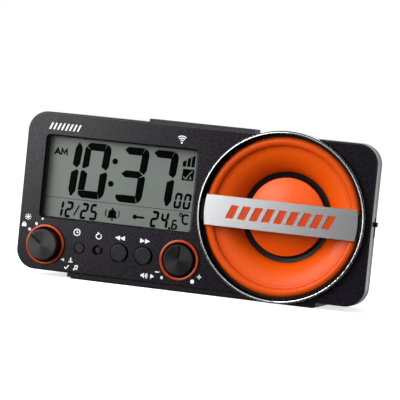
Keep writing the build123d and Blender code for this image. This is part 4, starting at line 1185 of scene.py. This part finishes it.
def photo_camera():
    """Camera turned and placed to see the clock as the photograph does."""
    flat = math.cos(camera_pitch)
    back = Vector((math.sin(camera_yaw) * flat, -math.cos(camera_yaw) * flat, math.sin(camera_pitch)))
    level = Vector((math.cos(camera_yaw), math.sin(camera_yaw), 0.0))
    above = back.cross(level)
    right = math.cos(camera_roll) * level + math.sin(camera_roll) * above
    upward = math.cos(camera_roll) * above - math.sin(camera_roll) * level
    data = bpy.data.cameras.new("camera")
    data.sensor_width = sensor_width
    data.lens = focal_pixels / picture_width * sensor_width
    data.clip_start = nearest_view * millimetre
    data.clip_end = farthest_view * millimetre
    camera = bpy.data.objects.new("camera", data)
    scene.collection.objects.link(camera)
    turn = Matrix((right, upward, back)).transposed().to_4x4()
    camera.matrix_world = Matrix.Translation((camera_target + back * camera_distance) * millimetre) @ turn
    return camera


scene.camera = photo_camera()

# Studio lamps, floor and backdrop, with places and sizes in metres
clock_middle = (0.0, 0.0, 0.045)
lamps = {
    "left_box": {"place": (-0.465, -0.575, 0.31), "width": 0.6, "height": 0.68, "glow": 6.3, "roll": -7.0},
    "top_box": {"place": (-0.10, -0.75, 0.80), "width": 1.4, "height": 0.9, "glow": 1.15},
    "low_box": {"place": (0.55, -0.75, 0.12), "width": 0.6, "height": 0.4, "glow": 1.8},
}
front_glow = 0.1
back_glow = 1.0
glow_turn = (-0.1, 0.5)
floor_half = 4.0
floor_glow = 0.7
floor_turn = (-0.05, 0.1)
white = (1.0, 1.0, 1.0, 1.0)
floor_pale = (0.9, 0.9, 0.9, 1.0)
floor_grey = (0.1, 0.1, 0.1, 1.0)


def softbox(name, place, aim, width, height, glow, roll=0.0):
    """Large soft rectangular lamp of a given brightness, pointed at the clock."""
    data = bpy.data.lights.new(name, "AREA")
    data.shape = "RECTANGLE"
    data.size = width
    data.size_y = height
    data.energy = glow * math.pi * width * height
    lamp = bpy.data.objects.new(name, data)
    lamp.location = place
    lamp.rotation_mode = "QUATERNION"
    toward = (Vector(aim) - Vector(place)).to_track_quat("-Z", "Y")
    lamp.rotation_quaternion = toward @ Quaternion((0.0, 0.0, 1.0), math.radians(roll))
    scene.collection.objects.link(lamp)


def seen_straight(tree):
    """Shares that are one where the camera looks at a surface, and where a mirror or a clear piece does."""
    path = tree.nodes.new("ShaderNodeLightPath")
    mirror = reckoned(tree, "MAXIMUM", path.outputs["Is Glossy Ray"], path.outputs["Is Transmission Ray"])
    return {"camera": path.outputs["Is Camera Ray"], "mirror": mirror}


def white_backdrop():
    """World that is white to the camera, and brighter behind the clock than before it."""
    world = bpy.data.worlds.new("studio")
    world.use_nodes = True
    tree = world.node_tree
    tree.nodes.clear()
    seen = seen_straight(tree)["camera"]
    way = tree.nodes.new("ShaderNodeTexCoord").outputs["Generated"]
    behind = ranged(tree, split(tree, way)["Y"], front_glow, back_glow, *glow_turn)
    light = tree.nodes.new("ShaderNodeBackground")
    light.inputs["Color"].default_value = white
    tree.links.new(reckoned(tree, "MAXIMUM", seen, behind), light.inputs["Strength"])
    output = tree.nodes.new("ShaderNodeOutputWorld")
    tree.links.new(light.outputs["Background"], output.inputs["Surface"])
    return world


def floor_look():
    """Floor that is white to the camera and, behind the clock, to mirrors, and grey to other light."""
    material = bpy.data.materials.new("floor_white")
    material.use_nodes = True
    tree = material.node_tree
    tree.nodes.clear()
    seen = seen_straight(tree)
    behind = ranged(tree, split(tree, place_of(tree))["Y"], 0.0, 1.0, *floor_turn)
    mirrored = reckoned(tree, "MULTIPLY", seen["mirror"], behind)
    white_share = reckoned(tree, "MAXIMUM", seen["camera"], mirrored)
    pale = tree.nodes.new("ShaderNodeBsdfDiffuse")
    pale.inputs["Color"].default_value = floor_pale
    glow = tree.nodes.new("ShaderNodeEmission")
    glow.inputs["Strength"].default_value = floor_glow
    bright = tree.nodes.new("ShaderNodeAddShader")
    dull = tree.nodes.new("ShaderNodeBsdfDiffuse")
    dull.inputs["Color"].default_value = floor_grey
    blend = tree.nodes.new("ShaderNodeMixShader")
    output = tree.nodes.new("ShaderNodeOutputMaterial")
    tree.links.new(pale.outputs["BSDF"], bright.inputs[0])
    tree.links.new(glow.outputs["Emission"], bright.inputs[1])
    tree.links.new(white_share, blend.inputs["Fac"])
    tree.links.new(dull.outputs["BSDF"], blend.inputs[1])
    tree.links.new(bright.outputs["Shader"], blend.inputs[2])
    tree.links.new(blend.outputs["Shader"], output.inputs["Surface"])
    return material


for name, lamp in lamps.items():
    softbox(name, aim=clock_middle, **lamp)
scene.world = white_backdrop()
floor_corners = [(-floor_half, -floor_half, 0.0), (floor_half, -floor_half, 0.0),
                 (floor_half, floor_half, 0.0), (-floor_half, floor_half, 0.0)]
floor = new_piece("floor", floor_corners, [(0, 1, 2, 3)], floor_look())

scene.view_settings.view_transform = "Standard"
